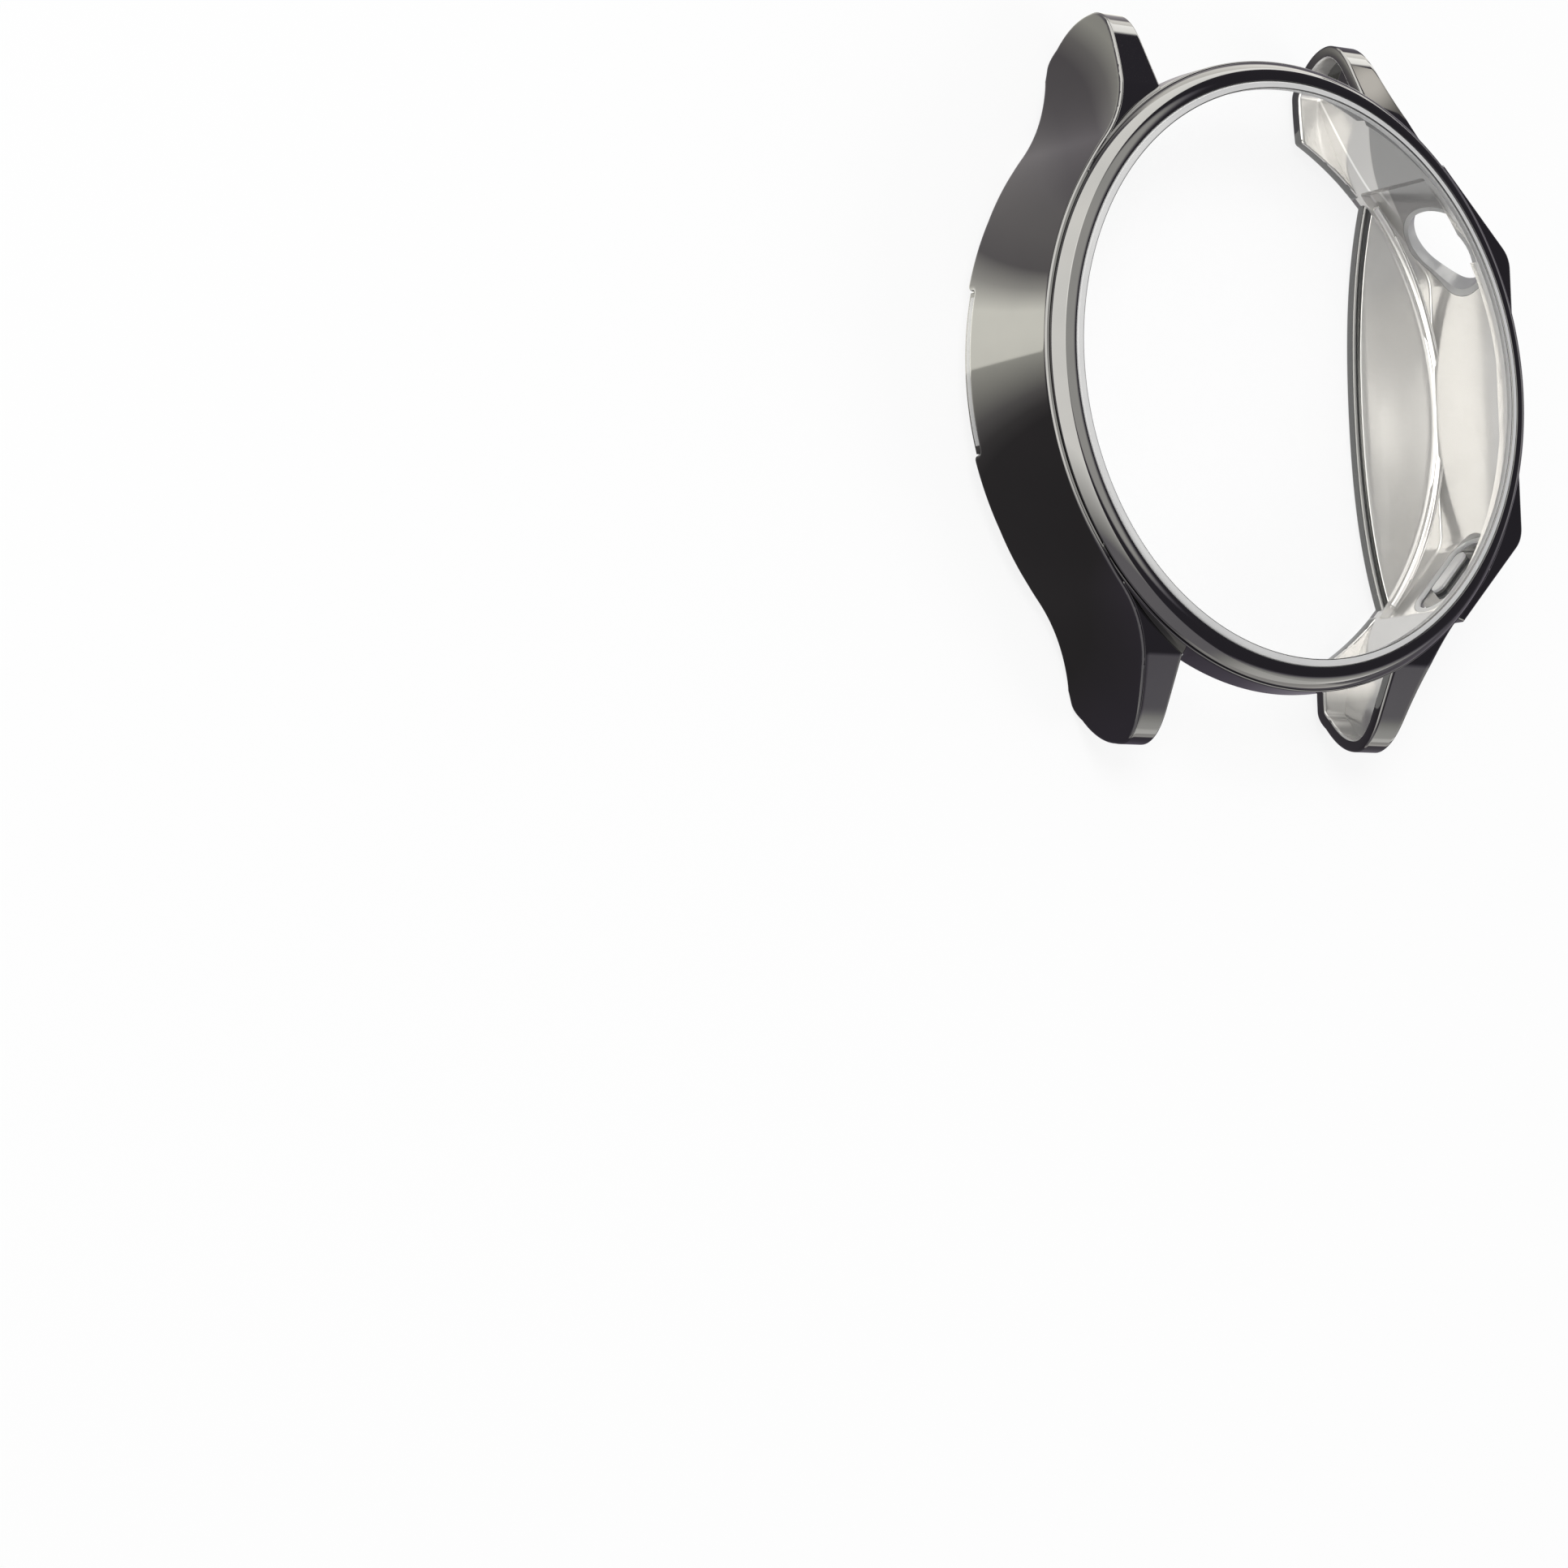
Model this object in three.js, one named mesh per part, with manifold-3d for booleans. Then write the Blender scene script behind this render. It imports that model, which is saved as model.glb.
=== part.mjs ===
// Smartwatch bumper case: a plated, flexible moulding with a clear front window.
// Millimetres. +Z points out of the window, +Y at 12 o'clock, +X at 3 o'clock (crown side).
// The origin lies on the window's axis, in the plane that the four lug heels rest on.

import * as THREE from 'three';
import { mergeVertices } from 'three/addons/utils/BufferGeometryUtils.js';
import Module from 'manifold-3d';

const wasm = await Module();
wasm.setup();
const { Manifold, Mesh: SolidMesh } = wasm;

// Window and the clear land round it
const windowRadius = 22.3;
const windowThickness = 0.5;
const windowHeight = 13.0;
const landWidth = 0.9;
const landDrop = 0.22;
const landThickness = 0.7;

// Bezel: a rounded ring between the land and the side walls
const bezelRollRadius = 0.64;
const bezelDrop = 0.15;
const bezelRise = 1.35;
const bezelSetback = 0.37;

// Side walls; a setback is measured along Y from the lug's tip, a drop downwards from the edge before it
const wallThickness = 1.0;
const railDropSetback = 14.5;
const railLeadSetback = 10.7;
const railHeelHeight = 1.45;
const railHeelSetback = 16.5;
const railToeSetback = 12.5;
const railToeHeight = 1.2;
const railToeLead = 0.35;
const seam = 0.05;

// Strap gap and lugs
const strapGap = 22.0;
const flareSetback = 11.3;
const flareLeadShare = 0.29;
const flareSettleShares = [0.065, 0.455];
const lugOverhang = 3.6;
const lugTipWidth = 2.4;
const lugTipDrop = 2.2;
const lugCrownSetback = 0.15;
const lugCrownDrop = 0.7;
const lugFrontSetback = 1.5;
const lugFrontDrop = 2.55;
const lugShoulderSetback = 6.5;
const lugShoulderDrop = 1.7;
const lugTurnSetback = 2.1;
const lugTurnHeight = 0.95;
const lugTurnLead = 0.7;
const lugHeelSetback = 3.6;
const lugHeelFlat = 1.0;
const lugCoverRise = 0.65;

// Skirts between the lugs, under the bezel
const skirtSetback = 0.2;
const skirtDepth = 2.8;

// Rear flanges that hold the watch in
const flangeDepth = 7.7;
const flangeBow = 1.2;
const flangeThickness = 0.9;
const flangeEdgeHeight = 0.15;
const flangeEdgeWidth = 0.75;

// Relief in the rear edge of each side wall
const reliefHalfLength = 6.4;
const reliefHeight = 0.9;
const reliefSkin = 0.55;
const reliefCorner = 0.8;

// Crown guard: a flat plateau level with the body, with two facets at 45 degrees that stand proud of it
const facetProud = 0.84;
const guardEndRun = 0.2;
const guardTopDrop = 0.8;
const guardCornerRadius = 1.0;

// Crown hole, on the upper facet
const crownMargin = 1.05;
const crownRimWidth = 0.4;
const crownSetback = 2.97;
const crownLift = 0.4;
const boreReach = 3.2;

// Button cover, on the lower facet
const buttonLength = 7.4;
const buttonWidth = 2.5;
const buttonSetback = 4.47;
const buttonLift = 0.15;
const buttonProud = 0.45;
const buttonThickness = 1.3;
const buttonCrown = 0.3;
const buttonGap = 0.3;
const buttonWebWidth = 0.45;
const buttonWebThickness = 0.35;
const buttonPusherLength = 4.6;
const buttonPusherWidth = 1.1;
const buttonPusherDepth = 0.5;

// Facet counts, the weld of shared vertices and the overrun of every cutting tool
const ringSteps = 120;
const arcSteps = 20;
const flareSteps = 16;
const rollSteps = 12;
const flangeSteps = 8;
const edgeSteps = 7;
const cornerSteps = 5;
const boreSteps = 48;
const pillSteps = 12;
const weldDistance = 1e-5;
const insetKeepShare = 0.98;
const cutOverrun = 2.0;

// Radii, worked out from the window outwards
const landRadius = windowRadius + landWidth;
const bezelInside = landRadius + seam;
const bodyRadius = bezelInside + 2 * bezelRollRadius + bezelSetback;
const innerRadius = bodyRadius - wallThickness;
const skirtRadius = bodyRadius - skirtSetback;
const flangeRim = innerRadius - seam;
const flangeChord = innerRadius - flangeDepth;

// Reaches along the strap, worked out from the lug's tip inwards
const strapHalf = strapGap / 2;
const lugTipReach = bodyRadius + lugOverhang;
const lugTipHalfWidth = strapHalf + lugTipWidth;
const tipOverrun = lugTipReach + wallThickness;
const [flareReach, railDropReach, railLeadReach, railHeelReach, railToeReach, lugShoulderReach] = [
  flareSetback,
  railDropSetback,
  railLeadSetback,
  railHeelSetback,
  railToeSetback,
  lugShoulderSetback,
].map((setback) => lugTipReach - setback);
const [lugFrontReach, lugCrownReach, lugTurnReach, lugHeelReach] = [
  lugFrontSetback,
  lugCrownSetback,
  lugTurnSetback,
  lugHeelSetback,
].map((setback) => lugTipReach - setback);

// Heights, worked out from the window's front downwards
const railTopHeight = windowHeight - bezelRise;
const railTall = railTopHeight + cutOverrun;
const lugShoulderHeight = railTopHeight - lugShoulderDrop;
const lugFrontHeight = lugShoulderHeight - lugFrontDrop;
const lugCrownHeight = lugFrontHeight - lugCrownDrop;
const lugTipHeight = lugFrontHeight - lugTipDrop;

// Guard: its facets, its corner and what the facets carry
const facetAngle = Math.PI / 4;
const facetDistance = bodyRadius + facetProud;
const guardCornerReach = facetDistance * Math.SQRT2 - bodyRadius;
const guardCornerSlide = (bodyRadius - guardCornerReach) / Math.SQRT2;
const guardEndReach = facetDistance / Math.SQRT2 + guardEndRun;
const guardTopHeight = railTopHeight - guardTopDrop;
const guardMiddle = (railHeelHeight + guardTopHeight) / 2;
const crownHoleRadius = (guardTopHeight - railHeelHeight) / 2 - crownMargin;
const crownHoleSlide = guardCornerSlide - crownSetback;
const crownHoleHeight = guardMiddle + crownLift;
const buttonSlide = guardCornerSlide - buttonSetback;
const buttonHeight = guardMiddle + buttonLift;

const platedSteel = new THREE.MeshStandardMaterial({ color: 0x4a474b, roughness: 0.16, metalness: 1.0 });
const clearRubber = new THREE.MeshStandardMaterial({ color: 0xcfccc6, roughness: 0.25, metalness: 0.0 });
const clearFilm = new THREE.MeshStandardMaterial({ color: 0xf4f5f6, roughness: 0.05, metalness: 0.0 });

// Solids from geometry, and geometry from solids
function solidFrom(geometry) {
  const bare = geometry.index ? geometry.toNonIndexed() : geometry.clone();
  bare.deleteAttribute('normal');
  bare.deleteAttribute('uv');
  const merged = mergeVertices(bare, weldDistance);
  return new Manifold(new SolidMesh({
    numProp: 3,
    vertProperties: new Float32Array(merged.attributes.position.array),
    triVerts: new Uint32Array(merged.index.array),
  }));
}

function geometryFrom(solid) {
  const { vertProperties, triVerts } = solid.getMesh();
  const geometry = new THREE.BufferGeometry();
  geometry.setAttribute('position', new THREE.BufferAttribute(new Float32Array(vertProperties), 3));
  geometry.setIndex(new THREE.BufferAttribute(new Uint32Array(triVerts), 1));
  const faceted = geometry.toNonIndexed();
  faceted.computeVertexNormals();
  return faceted;
}

function shapeFrom(points) {
  return new THREE.Shape(points.map(([x, y]) => new THREE.Vector2(x, y)));
}

// A plan outline raised between two heights
function raised(points, low, high) {
  const geometry = new THREE.ExtrudeGeometry(shapeFrom(points), { depth: high - low, bevelEnabled: false });
  geometry.translate(0, 0, low);
  return solidFrom(geometry);
}

// A side outline, drawn as (y, z), carried along X
function carried(points, left, right) {
  const geometry = new THREE.ExtrudeGeometry(shapeFrom(points), { depth: right - left, bevelEnabled: false });
  geometry.rotateX(Math.PI / 2);
  geometry.rotateZ(Math.PI / 2);
  geometry.translate(left, 0, 0);
  return solidFrom(geometry);
}

// A closed (radius, height) outline, drawn clockwise, turned about the window's axis
function turned(points) {
  const closed = [...points, points[0]].map(([r, z]) => new THREE.Vector2(r, z));
  const geometry = new THREE.LatheGeometry(closed, ringSteps);
  geometry.rotateX(Math.PI / 2);
  return solidFrom(geometry);
}

function upright(radius, low, high, steps) {
  const geometry = new THREE.CylinderGeometry(radius, radius, high - low, steps);
  geometry.rotateX(Math.PI / 2);
  geometry.translate(0, 0, (low + high) / 2);
  return solidFrom(geometry);
}

function disc(radius, low, high) {
  return upright(radius, low, high, ringSteps);
}

function block(x0, x1, y0, y1, z0, z1) {
  const geometry = new THREE.BoxGeometry(x1 - x0, y1 - y0, z1 - z0);
  geometry.translate((x0 + x1) / 2, (y0 + y1) / 2, (z0 + z1) / 2);
  return solidFrom(geometry);
}

function edgeNormal([x0, y0], [x1, y1]) {
  const length = Math.hypot(x1 - x0, y1 - y0);
  return [(y0 - y1) / length, (x1 - x0) / length];
}

// Moves a line of points sideways, to its left, so that every edge of it moves by the distance
function shifted(points, distance, closed) {
  const count = points.length;
  return points.map((point, i) => {
    const before = closed || i > 0 ? points[(i + count - 1) % count] : null;
    const after = closed || i < count - 1 ? points[(i + 1) % count] : null;
    const [ax, ay] = before ? edgeNormal(before, point) : edgeNormal(point, after);
    const [bx, by] = after ? edgeNormal(point, after) : edgeNormal(before, point);
    const mitre = distance / (1 + ax * bx + ay * by);
    return [point[0] + (ax + bx) * mitre, point[1] + (ay + by) * mitre];
  });
}

function curvePoints(curve, steps) {
  return curve.getPoints(steps).map((p) => [p.x, p.y]);
}

function quad(a, b, c) {
  const [p, q, r] = [a, b, c].map((v) => new THREE.Vector2(...v));
  return new THREE.QuadraticBezierCurve(p, q, r);
}

function cubic(a, b, c, d) {
  const [p, q, r, s] = [a, b, c, d].map((v) => new THREE.Vector2(...v));
  return new THREE.CubicBezierCurve(p, q, r, s);
}

// Upper half of the right-hand plan outline: an arc of the body, then the flare to the lug's tip
function flareOutline() {
  const flareX = Math.sqrt(bodyRadius ** 2 - flareReach ** 2);
  const flareAngle = Math.atan2(flareReach, flareX);
  const arc = [];
  for (let i = 0; i < arcSteps; i += 1) {
    const angle = (flareAngle * i) / arcSteps;
    arc.push([bodyRadius * Math.cos(angle), bodyRadius * Math.sin(angle)]);
  }
  const reach = tipOverrun - flareReach;
  const lead = reach * flareLeadShare;
  const away = [flareX - lead * Math.sin(flareAngle), flareReach + lead * Math.cos(flareAngle)];
  const [settleAcross, settleAlong] = flareSettleShares.map((share) => reach * share);
  const settle = [lugTipHalfWidth + settleAcross, flareReach + settleAlong];
  const flare = cubic([flareX, flareReach], away, settle, [lugTipHalfWidth, tipOverrun]);
  return [...arc, ...curvePoints(flare, flareSteps)];
}

const upperFlare = flareOutline();
const rightOutline = [...upperFlare.slice(1).reverse().map(([x, y]) => [x, -y]), ...upperFlare];

// Right-hand plan, drawn in by a distance and closed along the strap plane
function sidePlan(inset, strapPlane) {
  const line = shifted(rightOutline, inset, false);
  return [[strapPlane, -tipOverrun], ...line.slice(1, -1), [strapPlane, tipOverrun]];
}

function sideStrip(outerInset, innerInset) {
  const outer = shifted(rightOutline, outerInset, false);
  const inner = shifted(rightOutline, innerInset, false);
  return [...outer, ...inner.reverse()];
}

// Side view of a rail, as (y, z): front edge, lug tip, heel and rear edge, mirrored about y = 0
function railProfile(heelRise) {
  const shoulder = [lugShoulderReach, lugShoulderHeight];
  const front = [lugFrontReach, lugFrontHeight];
  const crown = [lugCrownReach, lugCrownHeight];
  const tip = [lugTipReach, lugTipHeight];
  const turn = [lugTurnReach, lugTurnHeight + heelRise];
  const heel = [lugHeelReach, heelRise];
  const heelBack = [lugHeelReach - lugHeelFlat, heelRise];
  const heelLead = [lugHeelReach - 2 * lugHeelFlat, Math.max(railToeLead, heelRise)];
  const toe = [railToeReach, railToeHeight];
  const half = [
    ...curvePoints(quad([railDropReach, railTopHeight], [railLeadReach, railTopHeight], shoulder), edgeSteps),
    ...curvePoints(quad(front, crown, tip), edgeSteps),
    ...curvePoints(quad(tip, [lugTipReach, lugTipHeight / 2 + heelRise], turn), edgeSteps).slice(1),
    ...curvePoints(quad(turn, [lugHeelReach + lugTurnLead, heelRise], heel), cornerSteps).slice(1),
    heelBack,
    ...curvePoints(quad(heelBack, heelLead, toe), edgeSteps).slice(1),
    [railHeelReach, railHeelHeight],
  ];
  const far = half.map(([y, z]) => [-y, z]).reverse();
  return [...half, ...far];
}

function distanceToOutline([x, y], outline) {
  const point = new THREE.Vector3(x, y, 0);
  const corners = outline.map(([cx, cy]) => new THREE.Vector3(cx, cy, 0));
  const distances = corners.map((corner, i) => {
    const edge = new THREE.Line3(corner, corners[(i + 1) % corners.length]);
    return edge.closestPointToPoint(point, true, new THREE.Vector3()).distanceTo(point);
  });
  return Math.min(...distances);
}

// The side view carried across one rail and drawn in by a distance; where a bend is tighter than
// that distance, the points that would cross over are left out
function railBand(outline, inset) {
  const least = Math.abs(inset) * insetKeepShare;
  const drawn = shifted(outline, -inset, true).filter((point) => distanceToOutline(point, outline) >= least);
  return carried(drawn, 0, bodyRadius + cutOverrun);
}

const wallOutline = railProfile(0);
const coverOutline = railProfile(lugCoverRise);

function mirroredX(solid) {
  return solid.mirror([1, 0, 0]);
}

function mirroredY(solid) {
  return solid.mirror([0, 1, 0]);
}

// Crown guard plan, drawn in by a distance
function guardPlan(inset) {
  const edge = bodyRadius - inset;
  const facetSum = (facetDistance - inset) * Math.SQRT2;
  const end = guardEndReach - inset;
  const corner = facetSum - edge;
  const away = guardCornerRadius * Math.SQRT1_2;
  const bend = quad([edge - away, corner + away], [edge, corner], [edge, corner - guardCornerRadius]);
  const upper = [[strapHalf, end], [facetSum - end, end], ...curvePoints(bend, cornerSteps)];
  return [...upper.map(([x, y]) => [x, -y]), ...upper.reverse()];
}

// A solid drawn flat, with +Z as its outward normal, stood on a facet of the guard
function onFacet(solid, slide, height, side) {
  const normal = new THREE.Vector3(Math.cos(facetAngle), side * Math.sin(facetAngle), 0);
  const along = new THREE.Vector3(Math.sin(facetAngle), -side * Math.cos(facetAngle), 0);
  const up = new THREE.Vector3().crossVectors(normal, along);
  const place = new THREE.Matrix4().makeBasis(along, up, normal);
  place.setPosition(normal.clone().multiplyScalar(facetDistance).addScaledVector(along, slide).setZ(height));
  return solid.transform(place.elements);
}

// A pill-shaped outline raised between two depths
function pill(length, width, low, high) {
  const half = length / 2 - width / 2;
  const points = [];
  for (let i = 0; i <= pillSteps; i += 1) {
    const angle = -Math.PI / 2 + (Math.PI * i) / pillSteps;
    points.push([half + (width / 2) * Math.cos(angle), (width / 2) * Math.sin(angle)]);
  }
  return raised([...points, ...points.map(([x, y]) => [-x, -y])], low, high);
}

// Window and land
const frontWindow = disc(windowRadius - seam, windowHeight - windowThickness, windowHeight);

const landBase = windowHeight - landThickness;
const windowLand = turned([
  [windowRadius, landBase],
  [landRadius, landBase - landDrop],
  [landRadius, windowHeight - landDrop],
  [windowRadius, windowHeight],
]);

// Bezel
function bezelOutline() {
  const centreRadius = bezelInside + bezelRollRadius;
  const centreHeight = windowHeight - bezelDrop - bezelRollRadius;
  const base = railTopHeight + seam;
  const roll = [];
  for (let i = 0; i <= rollSteps; i += 1) {
    const angle = (Math.PI * i) / rollSteps;
    roll.push([
      centreRadius + bezelRollRadius * Math.cos(angle),
      centreHeight + bezelRollRadius * Math.sin(angle),
    ]);
  }
  return [[bezelInside, base], [centreRadius + bezelRollRadius, base], ...roll];
}

const bezelRing = turned(bezelOutline());

// Side walls
const wallBand = raised(sideStrip(0, wallThickness), -cutOverrun, railTall).intersect(railBand(wallOutline, 0));

function reliefCut(extra) {
  const half = reliefHalfLength + extra;
  const top = railHeelHeight + reliefHeight + extra;
  const points = [
    [-half, -cutOverrun],
    [half, -cutOverrun],
    ...curvePoints(quad([half, top - reliefCorner], [half, top], [half - reliefCorner, top]), cornerSteps),
    ...curvePoints(quad([-half + reliefCorner, top], [-half, top], [-half, top - reliefCorner]), cornerSteps),
  ];
  return carried(points, innerRadius - cutOverrun, bodyRadius + cutOverrun);
}

const plainWall = wallBand.subtract(reliefCut(0));
const leftSideWall = mirroredX(plainWall);

const guardBody = raised(guardPlan(0), railHeelHeight, guardTopHeight);
const guardPocket = raised(guardPlan(wallThickness), railHeelHeight + wallThickness, guardTopHeight - wallThickness);
const wallInside = raised(sidePlan(wallThickness, 0), -cutOverrun, railTall);
const guardShell = guardBody.subtract(wallInside);
const guardedWall = plainWall.add(guardShell.subtract(reliefCut(0))).subtract(guardPocket);

// Crown hole and its rim
function crownBore(radius) {
  return onFacet(upright(radius, -boreReach, cutOverrun, boreSteps), crownHoleSlide, crownHoleHeight, 1);
}
const crownRim = guardedWall
  .intersect(crownBore(crownHoleRadius + crownRimWidth))
  .subtract(crownBore(crownHoleRadius));

// Button cover: a proud cap with a pusher behind it, and the thin web round it
const onButton = (solid) => onFacet(solid, buttonSlide, buttonHeight, -1);
const gapMargin = 2 * buttonGap;
const webMargin = gapMargin + 2 * buttonWebWidth;
const slotMargin = webMargin + 2 * seam;
const capBack = buttonProud - buttonThickness;

const capOuter = pill(buttonLength, buttonWidth, capBack, buttonProud - buttonCrown);
const capCrown = pill(buttonLength - 2 * buttonCrown, buttonWidth - 2 * buttonCrown, 0, buttonProud);
const buttonCap = onButton(capOuter.add(capCrown));
const buttonPusher = onButton(
  pill(buttonPusherLength, buttonPusherWidth, capBack - buttonPusherDepth, capBack - seam),
);
const webOuter = pill(
  buttonLength + webMargin,
  buttonWidth + webMargin,
  -wallThickness,
  buttonWebThickness - wallThickness,
);
const webHole = pill(buttonLength + gapMargin, buttonWidth + gapMargin, -cutOverrun, cutOverrun);
const buttonWeb = onButton(webOuter.subtract(webHole));
const buttonSlot = onButton(pill(buttonLength + slotMargin, buttonWidth + slotMargin, -boreReach, cutOverrun));

const rightSideWall = guardedWall
  .subtract(crownBore(crownHoleRadius + crownRimWidth + seam))
  .subtract(buttonSlot);

// Lug covers: front, tip and rear walls in one U, open to the strap
const coverPlan = raised(sidePlan(wallThickness + seam, strapHalf), -cutOverrun, railTall);
const coverClear = block(0, bodyRadius, -flareReach, flareReach, -cutOverrun, railTall + cutOverrun)
  .add(disc(innerRadius, -cutOverrun, railTall + cutOverrun));
const coverSkin = railBand(coverOutline, 0).subtract(railBand(coverOutline, wallThickness));
const upperHalf = block(0, bodyRadius, 0, tipOverrun, -cutOverrun, railTall);
const upperRightLug = coverPlan.intersect(coverSkin).subtract(coverClear).intersect(upperHalf);
const lowerRightLug = mirroredY(upperRightLug);

// Skirts: the short wall under the bezel, cut off above the lugs
const skirtRing = disc(skirtRadius, railTopHeight - skirtDepth, railTopHeight)
  .subtract(disc(innerRadius, 0, railTall));
const lugClear = raised(sidePlan(-seam, strapHalf - seam), -cutOverrun, railTall)
  .intersect(railBand(wallOutline, -seam));
const upperSkirt = skirtRing
  .intersect(block(-bodyRadius, bodyRadius, railDropReach, tipOverrun, 0, railTall))
  .subtract(lugClear)
  .subtract(mirroredX(lugClear));

// Rear flanges: a dished segment that springs from each side wall, with a plated free edge
const flangeInside = flangeChord - wallThickness;
const flangeRise = railHeelHeight - flangeEdgeHeight;
function flangeOutline() {
  const low = [];
  for (let i = 0; i <= flangeSteps; i += 1) {
    const share = i / flangeSteps;
    low.push([flangeInside + (flangeRim - flangeInside) * share, flangeEdgeHeight + flangeRise * share ** 2]);
  }
  return [...low, ...low.map(([r, z]) => [r, z + flangeThickness]).reverse()];
}
const flangeDish = turned(flangeOutline());
const flangeReach = Math.sqrt(flangeRim ** 2 - flangeChord ** 2);

// The part of a flange beyond its bowed free edge, drawn in by a distance
function flangeSpan(inset) {
  const middle = [flangeChord - flangeBow + inset, 0];
  const end = flangeChord + flangeBow + inset;
  const bow = curvePoints(quad([end, flangeReach], middle, [end, -flangeReach]), arcSteps);
  return raised([...bow, [bodyRadius, -flangeReach], [bodyRadius, flangeReach]], -cutOverrun, railTall);
}
const flangeRoot = disc(bodyRadius - reliefSkin, railHeelHeight, railHeelHeight + reliefHeight)
  .subtract(disc(flangeRim - wallThickness, 0, railTall))
  .intersect(reliefCut(-seam));
const rightFlange = flangeDish.intersect(flangeSpan(flangeEdgeWidth + seam)).add(flangeRoot);
const rightFlangeEdge = flangeDish.intersect(flangeSpan(0)).subtract(flangeSpan(flangeEdgeWidth));

const pieces = [
  ['front_window', frontWindow, clearFilm],
  ['window_land', windowLand, clearRubber],
  ['bezel_ring', bezelRing, platedSteel],
  ['left_side_wall', leftSideWall, platedSteel],
  ['right_side_wall', rightSideWall, platedSteel],
  ['upper_right_lug_cover', upperRightLug, platedSteel],
  ['lower_right_lug_cover', lowerRightLug, platedSteel],
  ['upper_left_lug_cover', mirroredX(upperRightLug), platedSteel],
  ['lower_left_lug_cover', mirroredX(lowerRightLug), platedSteel],
  ['upper_skirt', upperSkirt, platedSteel],
  ['lower_skirt', mirroredY(upperSkirt), platedSteel],
  ['right_rear_flange', rightFlange, clearRubber],
  ['left_rear_flange', mirroredX(rightFlange), clearRubber],
  ['right_flange_edge', rightFlangeEdge, platedSteel],
  ['left_flange_edge', mirroredX(rightFlangeEdge), platedSteel],
  ['crown_rim', crownRim, clearRubber],
  ['button_web', buttonWeb, clearRubber],
  ['button_cap', buttonCap, platedSteel],
  ['button_pusher', buttonPusher, clearRubber],
];

const bumperCase = new THREE.Group();
for (const [name, solid, material] of pieces) {
  const mesh = new THREE.Mesh(geometryFrom(solid), material);
  mesh.name = name;
  bumperCase.add(mesh);
}

export default bumperCase;
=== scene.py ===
# %% [markdown]
# # A bumper case for a round smartwatch
# The real object is one flexible moulding. Its outside is plated to a dark mirror, its inside keeps
# a pale silver gloss, and a clear film covers the round window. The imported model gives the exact
# places. This script gives each piece a smooth surface, because a mirror shows every flat facet.

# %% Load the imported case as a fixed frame
import bisect
import math

import bmesh
import bpy
from mathutils import Matrix, Vector


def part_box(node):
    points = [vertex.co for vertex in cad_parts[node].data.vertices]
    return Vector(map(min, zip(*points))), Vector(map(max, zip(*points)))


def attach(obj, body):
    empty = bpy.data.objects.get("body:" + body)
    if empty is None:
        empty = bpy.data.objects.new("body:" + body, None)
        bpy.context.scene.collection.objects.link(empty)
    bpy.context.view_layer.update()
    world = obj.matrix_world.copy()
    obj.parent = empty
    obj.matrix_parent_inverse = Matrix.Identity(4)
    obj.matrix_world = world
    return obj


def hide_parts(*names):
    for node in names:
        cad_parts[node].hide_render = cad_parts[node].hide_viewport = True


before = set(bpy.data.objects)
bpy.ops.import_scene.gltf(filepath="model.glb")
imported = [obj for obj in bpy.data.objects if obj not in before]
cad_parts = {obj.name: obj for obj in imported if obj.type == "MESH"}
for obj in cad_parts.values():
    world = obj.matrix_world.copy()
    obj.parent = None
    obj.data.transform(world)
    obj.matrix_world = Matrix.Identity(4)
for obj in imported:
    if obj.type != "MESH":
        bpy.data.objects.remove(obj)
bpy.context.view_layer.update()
MM = 0.001

# %% [markdown]
# ## Measures
# The pieces are drawn in millimetres, as a case maker would, and turned to metres when each mesh is
# finished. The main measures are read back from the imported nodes, so that the looks follow the frame.

# %% Read the main measures from the nodes
def node_box(name):
    low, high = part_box(name)
    return low / MM, high / MM


low, high = node_box("front_window")
window_radius, window_low, window_top = high.x, low.z, high.z
low, high = node_box("window_land")
land_radius, land_low = high.x, low.z
low, high = node_box("bezel_ring")
bezel_radius, bezel_foot, bezel_top = high.x, low.z, high.z
low, high = node_box("left_side_wall")
body_radius, tip_reach, rail_top = -low.x, high.y, high.z
skirt_low = node_box("upper_skirt")[0].z
flange_rim = node_box("right_rear_flange")[1].x
wall = 1.0
inner_radius = body_radius - wall
strap_half = 11.0
tip_half_width = 13.4
print("body radius %.2f mm, lug tip reach %.2f mm" % (body_radius, tip_reach))

# %% [markdown]
# ## Curves of the side wall
# Seen from the front, each side wall is an arc of the body that flares out to the lugs. Seen from the
# side it has a wavy front and rear edge. Both are drawn with the same few Bezier curves as the frame.

# %% Bezier curves and the plan of the side wall
def blend(weights, points):
    return tuple(sum(w * p[k] for w, p in zip(weights, points)) for k in (0, 1))


def quad(a, b, c, steps):
    shares = [i / steps for i in range(steps + 1)]
    return [blend(((1 - t) ** 2, 2 * t * (1 - t), t * t), (a, b, c)) for t in shares]


def cubic(a, b, c, d, steps):
    shares = [i / steps for i in range(steps + 1)]
    return [blend(((1 - t) ** 3, 3 * t * (1 - t) ** 2, 3 * t * t * (1 - t), t ** 3), (a, b, c, d))
            for t in shares]


flare_reach = 17.2
flare_end = tip_reach + wall
flare_span = flare_end - flare_reach
flare_x = math.sqrt(body_radius ** 2 - flare_reach ** 2)
flare_angle = math.atan2(flare_reach, flare_x)
flare_lead = 0.29 * flare_span
flare_curve = cubic(
    (flare_x, flare_reach),
    (flare_x - flare_lead * math.sin(flare_angle), flare_reach + flare_lead * math.cos(flare_angle)),
    (tip_half_width + 0.065 * flare_span, flare_reach + 0.455 * flare_span),
    (tip_half_width, flare_end),
    400,
)
flare_reaches = [y for x, y in flare_curve]


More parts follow.
